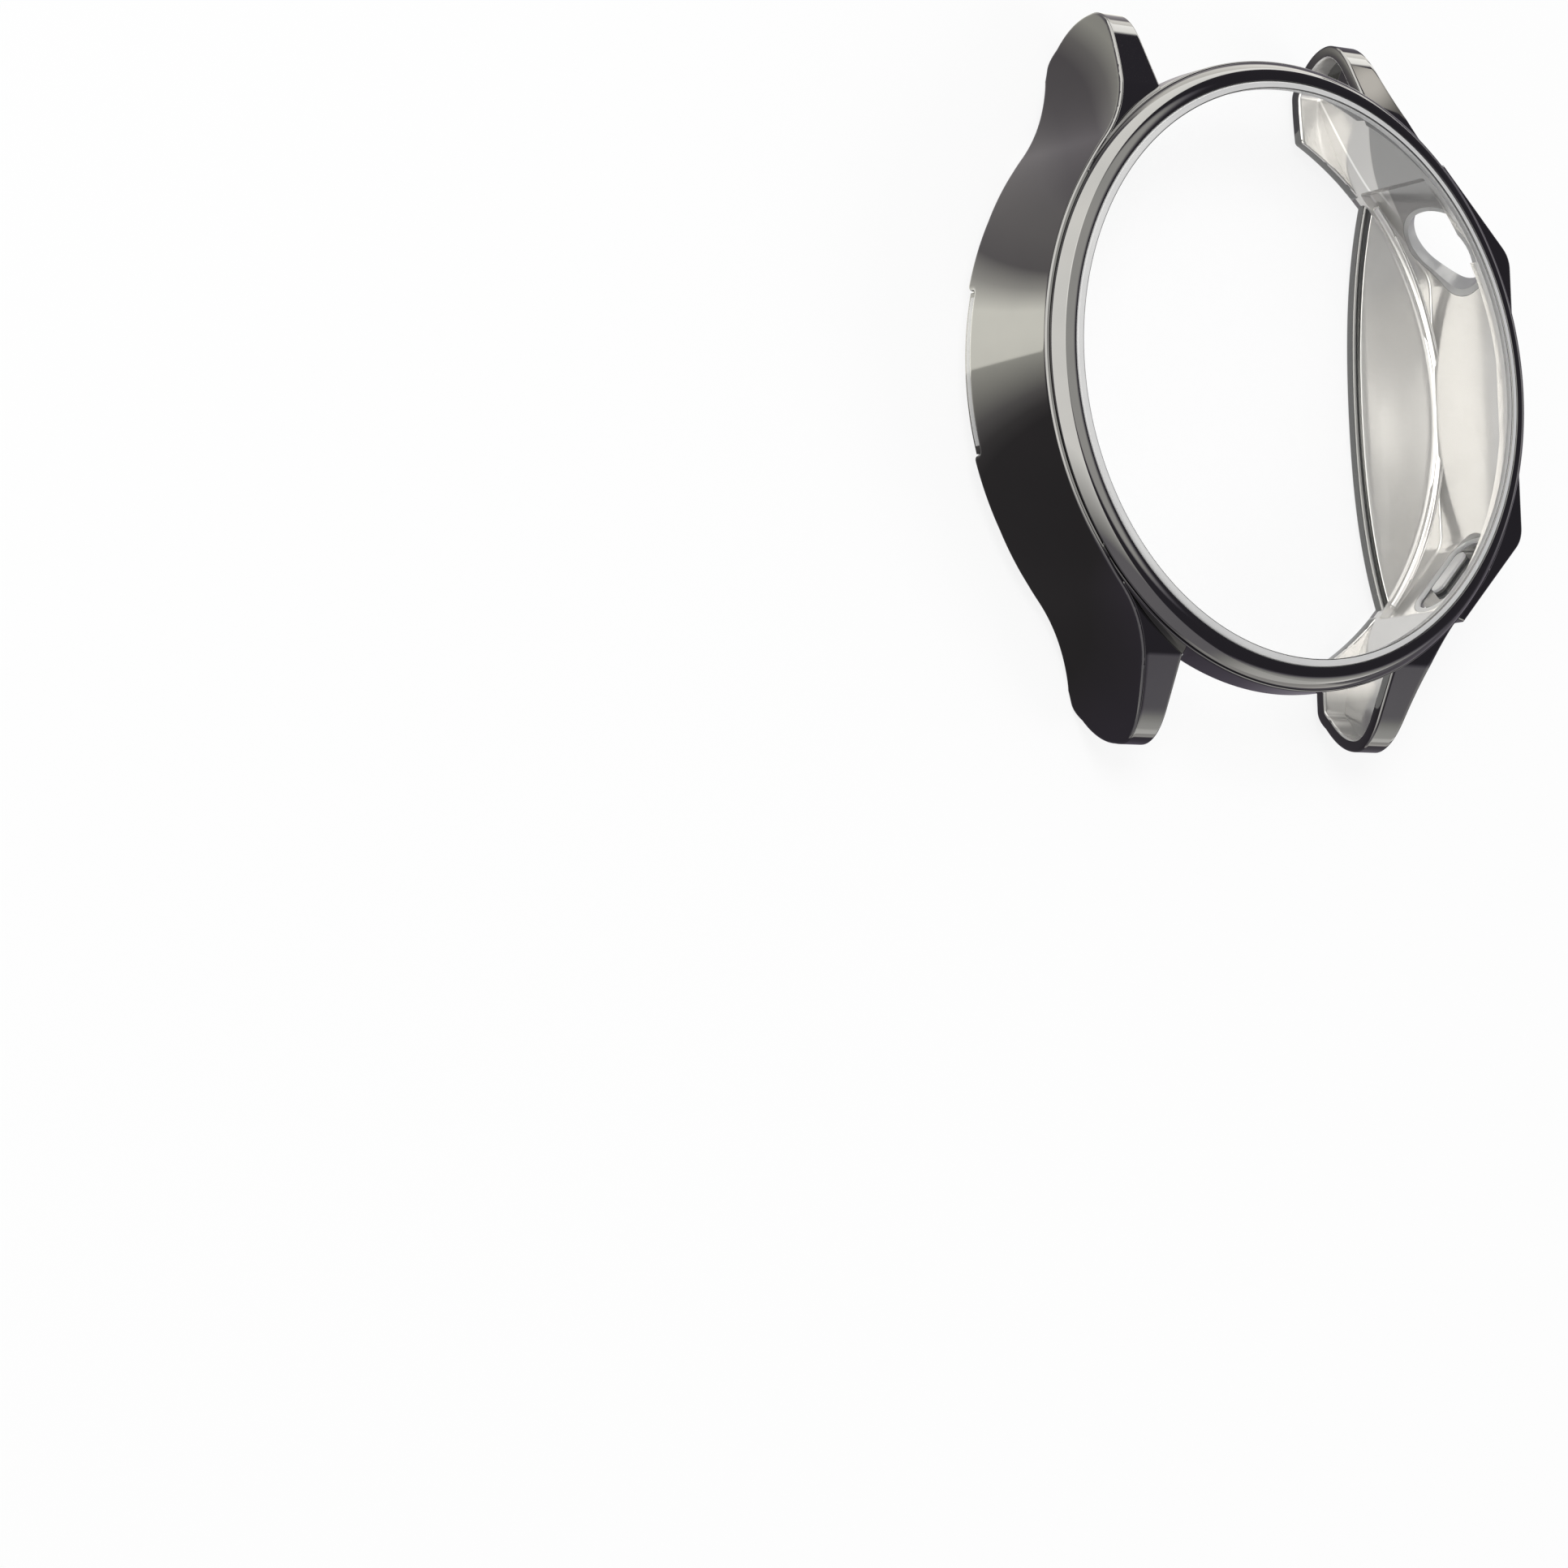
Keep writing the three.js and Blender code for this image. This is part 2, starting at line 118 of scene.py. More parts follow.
def plan(y):
    """Point and outward normal of the side wall's outer face at a reach along the strap."""
    side = -1.0 if y < 0 else 1.0
    reach = abs(y)
    if reach <= flare_reach:
        x = math.sqrt(body_radius ** 2 - reach ** 2)
        return Vector((x, y)), Vector((x, y)) / body_radius
    i = min(max(bisect.bisect_right(flare_reaches, reach), 1), len(flare_curve) - 1)
    (x0, y0), (x1, y1) = flare_curve[i - 1], flare_curve[i]
    share = (reach - y0) / (y1 - y0)
    before = Vector(flare_curve[max(i - 2, 0)])
    after = Vector(flare_curve[min(i + 1, len(flare_curve) - 1)])
    along = (after - before).normalized()
    return Vector((x0 + (x1 - x0) * share, y)), Vector((along.y, -along.x * side))


print("plan at the lug tip: %.2f mm" % plan(tip_reach)[0].x)

# %% Side outline of a rail, as (reach, height)
flat_end = 7.0
tip_nose = (tip_reach, 5.1)
heel_start = 60  # the point of the side path where the heel begins


def side_path(rise, start=0.0):
    """Front edge, lug tip, heel and rear edge of the upper half, in order. The rise lifts the rear."""
    path = [(start, rail_top), (flat_end, rail_top)] if start < flat_end else []
    path += quad((14.0, rail_top), (17.8, rail_top), (22.0, 9.95), 24)
    path += quad((26.1, 7.859), (28.4, 6.684), tip_nose, 14)
    path += quad(tip_nose, (tip_reach, 2.6 + rise), (26.4, 0.95 + rise), 18)[1:]
    path += quad((26.4, 0.95 + rise), (25.6, rise), (24.9, rise), 8)[1:]
    path += quad((23.9, rise), (22.9, max(0.35, rise)), (16.0, 1.2), 24)
    return path


rear_low = 1.45
relief_half = 6.4
relief_top = 2.35


def wall_outline():
    """The whole side outline, with the relief cut into the middle of its rear edge."""
    half = side_path(0.0) + [(12.0, rear_low), (9.0, rear_low)]
    half += quad((relief_half + 0.45, rear_low), (relief_half, rear_low), (relief_half, 1.85), 6)
    half += quad((relief_half, 1.86), (relief_half, relief_top), (relief_half - 0.5, relief_top), 6)
    return half + [(0.0, relief_top)] + [(-y, z) for y, z in reversed(half)][:-1]


def evenly(points, spacing, closed=True):
    """The same line with points added, so that no stretch is longer than the spacing."""
    out = []
    count = len(points) if closed else len(points) - 1
    for i in range(count):
        a, b = Vector(points[i]), Vector(points[(i + 1) % len(points)])
        parts = max(1, math.ceil((b - a).length / spacing))
        out += [tuple(a.lerp(b, k / parts)) for k in range(parts)]
    return out if closed else out + [points[-1]]


print("wall outline points:", len(evenly(wall_outline(), 0.3)))

# %% [markdown]
# ## Finishes
# A mirror finish is mostly what it reflects, so its own detail is quiet: a slow change of tone in the
# plating, fine handling marks that only the gloss shows, and the slight waviness of a soft moulding.
# All the finishes share these effects, so they are built once as node groups with named sockets.

# %% Helpers for shader nodes
def fill(node, inputs):
    """Gives a node its inputs, each a value or the output of another node."""
    for key, value in inputs.items():
        if isinstance(value, bpy.types.NodeSocket):
            value.id_data.links.new(value, node.inputs[key])
        else:
            node.inputs[key].default_value = value


def new_node(tree, kind, inputs=None, **settings):
    node = tree.nodes.new(kind)
    for key, value in settings.items():
        setattr(node, key, value)
    fill(node, inputs or {})
    return node


def new_group(name, inputs, outputs):
    """A group whose sockets are numbers, colours or, for None, vectors, as their values show."""
    kinds = {float: "NodeSocketFloat", tuple: "NodeSocketColor", type(None): "NodeSocketVector"}
    tree = bpy.data.node_groups.new(name, "ShaderNodeTree")
    for way, sockets in (("INPUT", inputs), ("OUTPUT", outputs)):
        for label, value in sockets.items():
            socket = tree.interface.new_socket(label, in_out=way, socket_type=kinds[type(value)])
            if value is not None:
                socket.default_value = value
    return tree, tree.nodes.new("NodeGroupInput").outputs, tree.nodes.new("NodeGroupOutput")


def fed_node(kind, inputs, **settings):
    """A node in the same tree as the sockets that feed it."""
    tree = next(value.id_data for value in inputs.values() if isinstance(value, bpy.types.NodeSocket))
    return new_node(tree, kind, inputs, **settings)


def math_node(how, first, second=0.0, third=0.0):
    return fed_node("ShaderNodeMath", {0: first, 1: second, 2: third}, operation=how).outputs[0]


def ramp_node(value, low, high, first=0.0, last=1.0, **settings):
    """Goes from the first to the last number as the value goes from low to high."""
    ends = {"Value": value, "From Min": low, "From Max": high, "To Min": first, "To Max": last}
    return fed_node("ShaderNodeMapRange", ends, **settings).outputs["Result"]


def mix_node(share, first, second):
    return fed_node("ShaderNodeMix", {0: share, 6: first, 7: second}, data_type="RGBA").outputs[2]


def axes_of(place):
    return fed_node("ShaderNodeSeparateXYZ", {"Vector": place}).outputs


def noise_node(place, size, detail, roughness):
    inputs = {"Vector": place, "Scale": size, "Detail": detail, "Roughness": roughness}
    return fed_node("ShaderNodeTexNoise", inputs).outputs["Fac"]


def new_material(name):
    material = bpy.data.materials.new(name)
    material.use_nodes = True
    return material, material.node_tree


# %% [markdown]
# Tone drift is the slow change of colour in a plated or moulded skin. A noise mixes the finish's own
# colour with a second one.

# %% Tone drift group
grey = (0.1, 0.1, 0.1, 1)
tone_drift, given, result = new_group(
    "tone_drift", {"Vector": None, "Colour": grey, "Drift Colour": grey, "Size": 120.0}, {"Colour": grey})
slow_noise = noise_node(given["Vector"], given["Size"], 3.0, 0.55)
drift_share = ramp_node(slow_noise, 0.35, 0.65)
drifted = mix_node(drift_share, given["Colour"], given["Drift Colour"])
fill(result, {"Colour": drifted})

# %% [markdown]
# Handling marks are hair-fine scratches and finger haze. They are a mask that only raises roughness,
# as on a real plated surface, where they vanish unless light rakes over them.

# %% Handling marks group
handling, given, result = new_group(
    "handling_marks", {"Vector": None, "Roughness": 0.08, "Haze": 0.05}, {"Roughness": 0.0})
streak_map = fed_node("ShaderNodeMapping", {
    "Vector": given["Vector"], "Rotation": (0.4, 0.2, 0.7), "Scale": (2600.0, 260.0, 1100.0)})
streaks = ramp_node(noise_node(streak_map.outputs["Vector"], 1.0, 2.0, 0.6), 0.62, 0.75)
smears = ramp_node(noise_node(given["Vector"], 210.0, 4.0, 0.6), 0.45, 0.75)
both = math_node("ADD", streaks, smears)
raised = math_node("MULTIPLY_ADD", both, given["Haze"], given["Roughness"])
fill(result, {"Roughness": raised})

# %% [markdown]
# Moulding waviness is a very shallow unevenness. It bends long reflections a little, which is how a
# flexible plated moulding differs from machined metal.

# %% Moulding waviness group
waviness, given, result = new_group(
    "moulding_waviness", {"Vector": None, "Size": 90.0, "Grain": 0.05}, {"Height": 0.0})
slow_wave = noise_node(given["Vector"], given["Size"], 1.0, 0.4)
fine_wave = noise_node(given["Vector"], 1900.0, 2.0, 0.5)
fill(result, {"Height": math_node("MULTIPLY_ADD", fine_wave, given["Grain"], slow_wave)})

# %% [markdown]
# Two masks of painted light belong to the right-hand inner wall. A broad patch beside the crown hole is a
# painted dark reflection of the front of the case, and so is the tip of the lower lug. A fine moulded
# crease runs from the flange to the tip of the upper lug, with a painted highlight along it. Both are
# masks, drawn in millimetres.

# %% Painted reflection and highlight group for the inner wall
marks, given, result = new_group("inner_painted_light", {"Vector": None}, {"Painted Dark Reflection": 0.0, "Painted Crease Highlight": 0.0})
axes = axes_of(given["Vector"])
on_right = ramp_node(axes["X"], 5 * MM, 6 * MM)
mark_y = math_node("MULTIPLY", axes["Y"], 1000.0)
mark_z = math_node("MULTIPLY", axes["Z"], 1000.0)
# The patch beside the crown hole is a painted dark reflection.
above_line = math_node("MULTIPLY_ADD", mark_y, -0.41, math_node("ADD", mark_z, 2.52))
painted_dark_reflection = ramp_node(above_line, -0.05, 0.10)
for low, high in ((14.2, 15.4), (23.9, 23.3)):
    painted_dark_reflection = math_node("MULTIPLY", painted_dark_reflection, ramp_node(mark_y, low, high))
# The tip of the lower lug takes the same painted dark reflection.
painted_tip_reflection = math_node("MULTIPLY", ramp_node(mark_y, -22.6, -24.2), 0.85)
painted_dark_reflection = math_node("MAXIMUM", painted_dark_reflection, painted_tip_reflection)
# A painted highlight follows the moulded crease.
from_middle = math_node("SUBTRACT", mark_y, 20.7)
crease_bow = math_node("MULTIPLY_ADD", from_middle, -0.0207, -0.23)
crease_z = math_node("MULTIPLY_ADD", from_middle, crease_bow, 3.1)
off_crease = math_node("ABSOLUTE", math_node("SUBTRACT", mark_z, crease_z))
painted_crease_highlight = math_node("MULTIPLY", ramp_node(off_crease, 0.15, 0.07), ramp_node(mark_y, 16.2, 17.0))
fill(result, {"Painted Dark Reflection": math_node("MULTIPLY", painted_dark_reflection, on_right),
              "Painted Crease Highlight": math_node("MULTIPLY", painted_crease_highlight, on_right)})
print("shader groups:", sorted(g.name for g in bpy.data.node_groups))

# %% [markdown]
# One function puts the three shared groups into a material. The bump distance is the height of the
# waviness, and the last argument sets the other inputs of the Principled shader.

# %% A material from the shared groups
def finish_nodes(name, colour, drift, rough, haze, wave, grain, gloss):
    material, tree = new_material(name)
    skin = tree.nodes["Principled BSDF"]
    place = new_node(tree, "ShaderNodeTexCoord").outputs["Object"]
    tone = fed_node("ShaderNodeGroup", {
        "Vector": place, "Colour": (*colour, 1), "Drift Colour": (*drift, 1)}, node_tree=tone_drift)
    hands = fed_node("ShaderNodeGroup", {
        "Vector": place, "Roughness": rough, "Haze": haze}, node_tree=handling)
    wavy = fed_node("ShaderNodeGroup", {"Vector": place, "Grain": grain}, node_tree=waviness)
    bump = fed_node("ShaderNodeBump", {"Height": wavy.outputs["Height"], "Strength": 1.0, "Distance": wave})
    fill(skin, {"Base Color": tone.outputs[0], "Roughness": hands.outputs[0],
                "Normal": bump.outputs[0], **gloss})
    return material, tree, skin


# %% [markdown]
# The outside is plated like a dark nickel. Metal takes its colour from its base colour, so a tone of
# about a tenth gives the grey that the white floor shows in it, and a trace of brown warms it.

# %% Gunmetal plating
gunmetal, tree, skin = finish_nodes(
    "gunmetal_plating", (0.116, 0.116, 0.114), (0.126, 0.125, 0.122), 0.045, 0.03, 0.000006, 0.05,
    {"Metallic": 1.0, "Coat Weight": 0.25, "Coat Roughness": 0.03})

# %% [markdown]
# The inside shows the back of the plating through the clear moulding: a pale warm silver under a
# glossy clear skin, so it is a light metal with a coat. The painted dark reflection and the painted crease
# highlight of the inner wall are mixed into its colour. Near the rear edge the dark plating wraps over it,
# which an attribute of the mesh marks.

# %% Silver inside
silver, tree, skin = finish_nodes(
    "silver_inside", (0.62, 0.61, 0.59), (0.57, 0.56, 0.54), 0.16, 0.05, 0.000004, 0.0,
    {"Metallic": 0.5, "Coat Weight": 0.6, "Coat Roughness": 0.05})
place = new_node(tree, "ShaderNodeTexCoord").outputs["Object"]
inner = fed_node("ShaderNodeGroup", {"Vector": place}, node_tree=marks).outputs
band = new_node(tree, "ShaderNodeAttribute", attribute_name="plated_band").outputs["Fac"]
tone = skin.inputs["Base Color"].links[0].from_socket
# In turn: a painted dark reflection, a painted crease highlight, then the dark plating near the rear edge.
for share, colour in (
        (math_node("MULTIPLY", inner["Painted Dark Reflection"], 0.72), (0.16, 0.16, 0.158, 1)),
        (inner["Painted Crease Highlight"], (0.95, 0.94, 0.92, 1)),
        (ramp_node(band, 0.68, 0.70), (0.10, 0.088, 0.098, 1))):
    tone = mix_node(share, tone, colour)
fill(skin, {"Base Color": tone})

# %% [markdown]
# Where the moulding isn't plated it is clear rubber, which looks pale grey and a little milky over a
# white ground. A thin glossy coat gives it depth.

# %% Clear rubber
rubber, tree, skin = finish_nodes(
    "clear_rubber", (0.42, 0.42, 0.42), (0.46, 0.46, 0.455), 0.22, 0.05, 0.000004, 0.0,
    {"IOR": 1.5, "Coat Weight": 0.25, "Coat Roughness": 0.12})

# %% [markdown]
# The window film is so clear that only its gloss and its cut edge show. Layer Weight raises its
# opacity at a glancing angle, where a real film turns into a mirror. Its back faces are clear, so
# that the film is counted once.

# %% Window film
film, tree, skin = finish_nodes(
    "window_film", (0.93, 0.94, 0.95), (0.90, 0.92, 0.94), 0.03, 0.02, 0.000002, 0.05, {"IOR": 1.45})
fresnel = new_node(tree, "ShaderNodeLayerWeight", {"Blend": 0.35}).outputs["Fresnel"]
opacity = ramp_node(fresnel, 0.05, 1.0, 0.02, 0.6)
in_front = math_node("SUBTRACT", 1.0, new_node(tree, "ShaderNodeNewGeometry").outputs["Backfacing"])
fill(skin, {"Alpha": math_node("MULTIPLY", opacity, in_front)})
print("materials:", sorted(m.name for m in (gunmetal, silver, rubber, film)))

# %% [markdown]
# ## From a drawn mesh to a finished piece
# Every mesh is merged, its faces are turned outwards, and it is scaled to metres. The weighted normal
# modifier lets the broad faces rule the shading, so that a mirror stays even right up to its rounded edge.

# %% Finish a piece
def new_mesh(bm, name, *materials):
    mesh = bpy.data.meshes.new(name)
    bm.to_mesh(mesh)
    bm.free()
    for material in materials:
        mesh.materials.append(material)
    return mesh


def new_object(name, data):
    made = bpy.data.objects.new(name, data)
    bpy.context.scene.collection.objects.link(made)
    return made


def place_piece(bm, name, finishes, node, body="case", rounding=0.0):
    """Scales a mesh to metres and hands it to its body."""
    bmesh.ops.scale(bm, vec=(MM, MM, MM), verts=bm.verts)
    mesh = new_mesh(bm, name, *finishes)
    mesh.shade_smooth()
    piece = new_object(name, mesh)
    if rounding:
        soften = piece.modifiers.new("small_rounding", "BEVEL")
        soften.width, soften.segments, soften.limit_method = rounding * MM, 2, "ANGLE"
        soften.angle_limit = math.radians(35.0)
    piece.modifiers.new("even_shading", "WEIGHTED_NORMAL").keep_sharp = True
    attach(piece, body)
    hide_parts(node)
    print("%s: %d faces" % (name, len(mesh.polygons)))
    return piece


def finish_piece(bm, name, finishes, node, body="case"):
    bmesh.ops.remove_doubles(bm, verts=bm.verts, dist=1e-4)
    bmesh.ops.recalc_face_normals(bm, faces=bm.faces)
    return place_piece(bm, name, finishes, node, body)


# %% Small steps of drawing
def drawn_face(outline, place):
    """One flat face with a corner for each point of the outline, put where the place function says."""
    bm = bmesh.new()
    ring = bmesh.ops.create_circle(bm, cap_ends=True, segments=len(outline), radius=1.0)["verts"]
    for vert, point in zip(ring, outline):
        vert.co = place(*point)
    return bm


def lift(bm, way):
    """Turns a flat face into a solid of even thickness."""
    made = bmesh.ops.extrude_face_region(bm, geom=bm.faces[:], use_keep_orig=True)["geom"]
    bmesh.ops.translate(bm, vec=way, verts=[v for v in made if isinstance(v, bmesh.types.BMVert)])
    bmesh.ops.recalc_face_normals(bm, faces=bm.faces)


def rectangle(length, width):
    bm = bmesh.new()
    made = bmesh.ops.create_grid(bm, x_segments=1, y_segments=1, size=0.5)["verts"]
    bmesh.ops.scale(bm, vec=(length, width, 1), verts=made)
    return bm


def move(bm, matrix):
    bmesh.ops.transform(bm, matrix=matrix, verts=bm.verts)


def paint(bm, is_second=lambda middle: False):
    """Gives the second finish to the faces whose middle passes the test, and the first to the rest."""
    for face in bm.faces:
        face.material_index = int(is_second(face.calc_center_median()))


def level_edges(bm, axis=2):
    return [e for e in bm.edges if abs(e.verts[0].co[axis] - e.verts[1].co[axis]) < 1e-6]


def round_edges(bm, edges, rounding, segments):
    bmesh.ops.bevel(bm, geom=edges, offset=rounding, offset_type="OFFSET", segments=segments, profile=0.5,
                    affect="EDGES", material=-1, clamp_overlap=False)


def spin_round(bm, steps):
    bmesh.ops.spin(bm, geom=bm.verts[:] + bm.edges[:], cent=(0, 0, 0), axis=(0, 0, 1), dvec=(0, 0, 0),
                   angle=math.tau, steps=steps, use_merge=True, use_duplicate=False)


# %% [markdown]
# ## Window, land and bezel
# The film is a thin disc. The land and the bezel are turned: a closed profile is spun about the
# window's axis, as on a lathe. Their roundings are drawn into the profile as curves.

# %% Window film
bm = bmesh.new()
disc = bmesh.ops.create_circle(bm, cap_ends=True, segments=256, radius=window_radius)["verts"]
bmesh.ops.translate(bm, vec=(0, 0, window_low), verts=disc)
lift(bm, (0, 0, window_top - window_low))
round_edges(bm, level_edges(bm), 0.06, 2)
finish_piece(bm, "window_film_pane", [film], "front_window")


# %% Window land
def turned_ring(profile):
    """A ring from a closed (radius, height) profile."""
    bm = drawn_face(profile, lambda radius, height: (radius, 0.0, height))
    bmesh.ops.delete(bm, geom=bm.faces[:], context="FACES_ONLY")
    spin_round(bm, 288)
    return bm


land_inside, land_flat = window_radius + 0.02, window_radius + 0.60
land_foot = 12.36
lip_depth = 0.14
profile = [(land_inside, 12.35), (land_radius, land_low), (land_radius, land_foot - 0.1),
           (land_flat + 0.10, land_foot - 0.02)]
profile += cubic((land_flat + 0.07, land_foot), (land_flat + 0.05, window_top - 0.22),
                 (land_flat - 0.02, window_top - 0.10), (land_flat - 0.16, window_top - 0.06), 10)
profile += cubic((land_flat - 0.16, window_top - 0.06), (window_radius + 0.30, window_top - 0.01),
                 (window_radius + 0.20, window_top), (window_radius + 0.10, window_top), 6)[1:]
profile += [(window_radius + 0.045, window_top - 0.02), (land_inside, window_top - 0.06),
            (land_inside, window_top - lip_depth)]
bm = turned_ring(profile)
paint(bm, lambda at: math.hypot(at.x, at.y) < window_radius + 0.08 and at.z > window_top - lip_depth)
finish_piece(bm, "clear_window_land", [rubber, gunmetal], "window_land")

# %% [markdown]
# The bezel has a small inner rounding, then one long outward slope that steepens into an upright
# flank, and a foot on the wall.

# %% Bezel ring
inside = land_flat + 0.04
crest = (inside + 0.05, bezel_top)
slope = (inside + 0.95, bezel_top - 0.215)
profile = cubic((inside, 12.62), (inside, 12.80), (inside + 0.01, bezel_top), crest, 5)
profile += cubic(crest, (inside + 0.40, bezel_top), (inside + 0.65, bezel_top - 0.02), slope, 12)[1:]
profile += cubic(slope, (inside + 1.13, bezel_top - 0.34), (bezel_radius - 0.12, bezel_top - 0.76),
                 (bezel_radius, bezel_foot + 0.07), 14)[1:]
profile += [(bezel_radius + 0.02, bezel_foot), (land_radius + 0.05, bezel_foot),
            (land_radius + 0.05, 12.26), (inside + 0.05, 12.30)]
finish_piece(turned_ring(profile), "plated_bezel", [gunmetal], "bezel_ring")

# %% [markdown]
# ## Side walls
# A side wall is a bent plate. It is drawn flat from its side outline, its edges are rounded while it
# is still flat, where a bevel is exact, and then every point is carried onto the curved plan. Cuts
# across the plate first give it enough points to bend smoothly.

# %% Draw a flat plate with rounded edges, and bend it
def flat_plate(outline, thickness, rounding, row_step=1.2, column_step=0.4):
    bm = drawn_face(outline, lambda y, z: (0.0, y, z))
    lift(bm, (-thickness, 0, 0))
    round_edges(bm, level_edges(bm, 0), rounding, 4)
    broad = [f for f in bm.faces if len(f.verts) > 8]
    bmesh.ops.inset_region(bm, faces=broad, thickness=0.1, use_even_offset=True, use_boundary=True)
    columns = int(2 * tip_reach / column_step)
    cuts = [((0, -tip_reach + column_step * i, 0), (0, 1, 0)) for i in range(1, columns)]
    cuts += [((0, 0, 1.0 + row_step * i), (0, 0, 1)) for i in range(int(rail_top / row_step))]
    for where, across in cuts:
        bmesh.ops.bisect_plane(bm, geom=bm.verts[:] + bm.edges[:] + bm.faces[:], dist=1e-5,
                               plane_co=where, plane_no=across)
    return bm


def bend(bm):
    for vert in bm.verts:
        point, normal = plan(vert.co.y)
        bent = point + normal * vert.co.x
        vert.co = (bent.x, bent.y, vert.co.z)


def mark_band(mesh):
    """Stores how near each point is to the rear edge, where the plating wraps onto the inside."""
    far = 2.0
    rear = [Vector(p) for p in evenly(side_path(0.0)[heel_start:], 0.2, closed=False) if p[0] > 14.0]
    band = mesh.attributes.new("plated_band", "FLOAT", "POINT")
    for vertex in mesh.vertices:
        y, z = abs(vertex.co.y) / MM, vertex.co.z / MM
        near = min((Vector((y, z)) - p).length for p in rear) if y > 13.0 and z < 4.5 else far
        band.data[vertex.index].value = max(0.0, 1 - near / far)


plate = flat_plate(evenly(wall_outline(), 0.3), wall, 0.28)
paint(plate, lambda at: at.x < -wall * 0.6)
bend(plate)
plate_mesh = bpy.data.meshes.new("bent_plate")
plate.to_mesh(plate_mesh)
print("plate faces:", len(plate.faces))

# %% Left side wall
move(plate, Matrix.Diagonal((-1, 1, 1, 1)))
left_wall = finish_piece(plate, "left_plated_wall", [gunmetal, silver], "left_side_wall")
mark_band(left_wall.data)

# %% [markdown]
# ## Crown guard
# The right-hand wall swells into a guard with a flat plateau and two facets at 45 degrees. It is
# hollow behind, and the facets carry the crown hole and the button cover. The guard is a rounded
# prism joined to the bent plate, and cutters then open the pocket, the hole and the slot.

# %% Prisms that join or cut the wall
def prism(outline, low, high, rounding):
    """A plan outline raised between two heights, its two outlines rounded."""
    bm = drawn_face(outline, lambda x, y: (x, y, low))
    lift(bm, (0, 0, high - low))
    round_edges(bm, level_edges(bm), rounding, 3)
    return bm


def scratch_object(bm, name, is_second=False):
    paint(bm, lambda at: is_second)
    return new_object(name, new_mesh(bm, name, gunmetal, silver))


def taken_mesh(thing):
    """The mesh of an object, taken out of it; the object is removed."""
    bm = bmesh.new()
    bm.from_mesh(thing.data)
    bpy.data.objects.remove(thing)
    return bm


def combine(target, tool, how):
    """Applies one Boolean to the target's mesh, and clears the tool away."""
    cut = target.modifiers.new("cut", "BOOLEAN")
    cut.operation, cut.object, cut.solver = how, tool, "MANIFOLD"
    depsgraph = bpy.context.evaluated_depsgraph_get()
    mesh = bpy.data.meshes.new_from_object(target.evaluated_get(depsgraph))
    target.modifiers.clear()
    target.data = mesh
    bpy.data.objects.remove(tool)


facet_distance = body_radius + 0.84
guard_end = facet_distance / math.sqrt(2) + 0.2
guard_low, guard_high = rear_low, 10.85
guard_corner = 1.0


def guard_plan(inset):
    """The guard seen from the front, from one end round to the other, drawn in by the inset."""
    edge = body_radius - inset
    total = (facet_distance - inset) * math.sqrt(2)
    end, corner = guard_end - inset, total - edge
    away = guard_corner / math.sqrt(2)
    upper = [(strap_half, end), (total - end, end)]
    upper += quad((edge - away, corner + away), (edge, corner), (edge, corner - guard_corner), 8)
    return [(x, -y) for x, y in upper] + upper[::-1]


def guard_outline():
    """The guard's plan, closed along a line in the middle of the wall behind it."""
    front = [p for p in guard_plan(-0.01) if p[0] > strap_half + 1.0]
    back = []
    for i in range(-60, 61):
        point, normal = plan(guard_end * i / 60)
        back.append(tuple(point - normal * wall / 2))
    return front + back[::-1]


guard = scratch_object(prism(guard_outline(), guard_low, guard_high, 0.28), "guard")
plate_mesh.materials.append(gunmetal)
plate_mesh.materials.append(silver)
right_wall = new_object("right_wall", plate_mesh)
combine(right_wall, guard, "UNION")
print("guarded wall faces:", len(right_wall.data.polygons))

# %% Places of the crown hole and the button on the facets
def on_facet(slide, height, side):
    """The frame of a place on a facet: X along it towards the strap plane, Z out of it."""
    turn = math.pi / 4
    normal = Vector((math.cos(turn), side * math.sin(turn), 0))
    along = Vector((math.sin(turn), -side * math.cos(turn), 0))
    up = normal.cross(along)
    place = Matrix((along, up, normal)).transposed().to_4x4()
    place.translation = normal * facet_distance + along * slide + Vector((0, 0, height))
    return place


corner_reach = facet_distance * math.sqrt(2) - body_radius
corner_slide = (body_radius - corner_reach) / math.sqrt(2)
guard_middle = (guard_low + guard_high) / 2
hole_radius = (guard_high - guard_low) / 2 - 1.05
rim_width = 0.4
hole_place = on_facet(corner_slide - 2.97, guard_middle + 0.4, 1)
button_place = on_facet(corner_slide - 4.47, guard_middle + 0.15, -1)
button_length, button_width, button_proud = 7.4, 2.5, 0.45


def bore(radius, name):
    bm = bmesh.new()
    bmesh.ops.create_cone(bm, cap_ends=True, segments=128, radius1=radius, radius2=radius, depth=6.0)
    move(bm, hole_place)
    return scratch_object(bm, name)


def pill(length, width, low, high, rounding=0.0):
    """A rounded-end bar: a rectangle with its corners rounded to half circles, then raised."""
    bm = rectangle(length, width)
    bmesh.ops.bevel(bm, geom=bm.verts[:], offset=width / 2 - 0.001, segments=16, profile=0.5,
                    affect="VERTICES", material=-1)
    bmesh.ops.translate(bm, vec=(0, 0, low), verts=bm.verts)
    lift(bm, (0, 0, high - low))
    if rounding:
        top = [e for e in level_edges(bm) if abs(e.verts[0].co.z - high) < 1e-6]
        round_edges(bm, top, rounding, 6)
    return bm


def button_pill(more, low, high, rounding=0.0):
    """A pill at the button's place, larger than the button cover by the given amount."""
    bm = pill(button_length + more, button_width + more, low, high, rounding)
    move(bm, button_place)
    return bm


print("crown hole radius %.2f mm" % hole_radius)

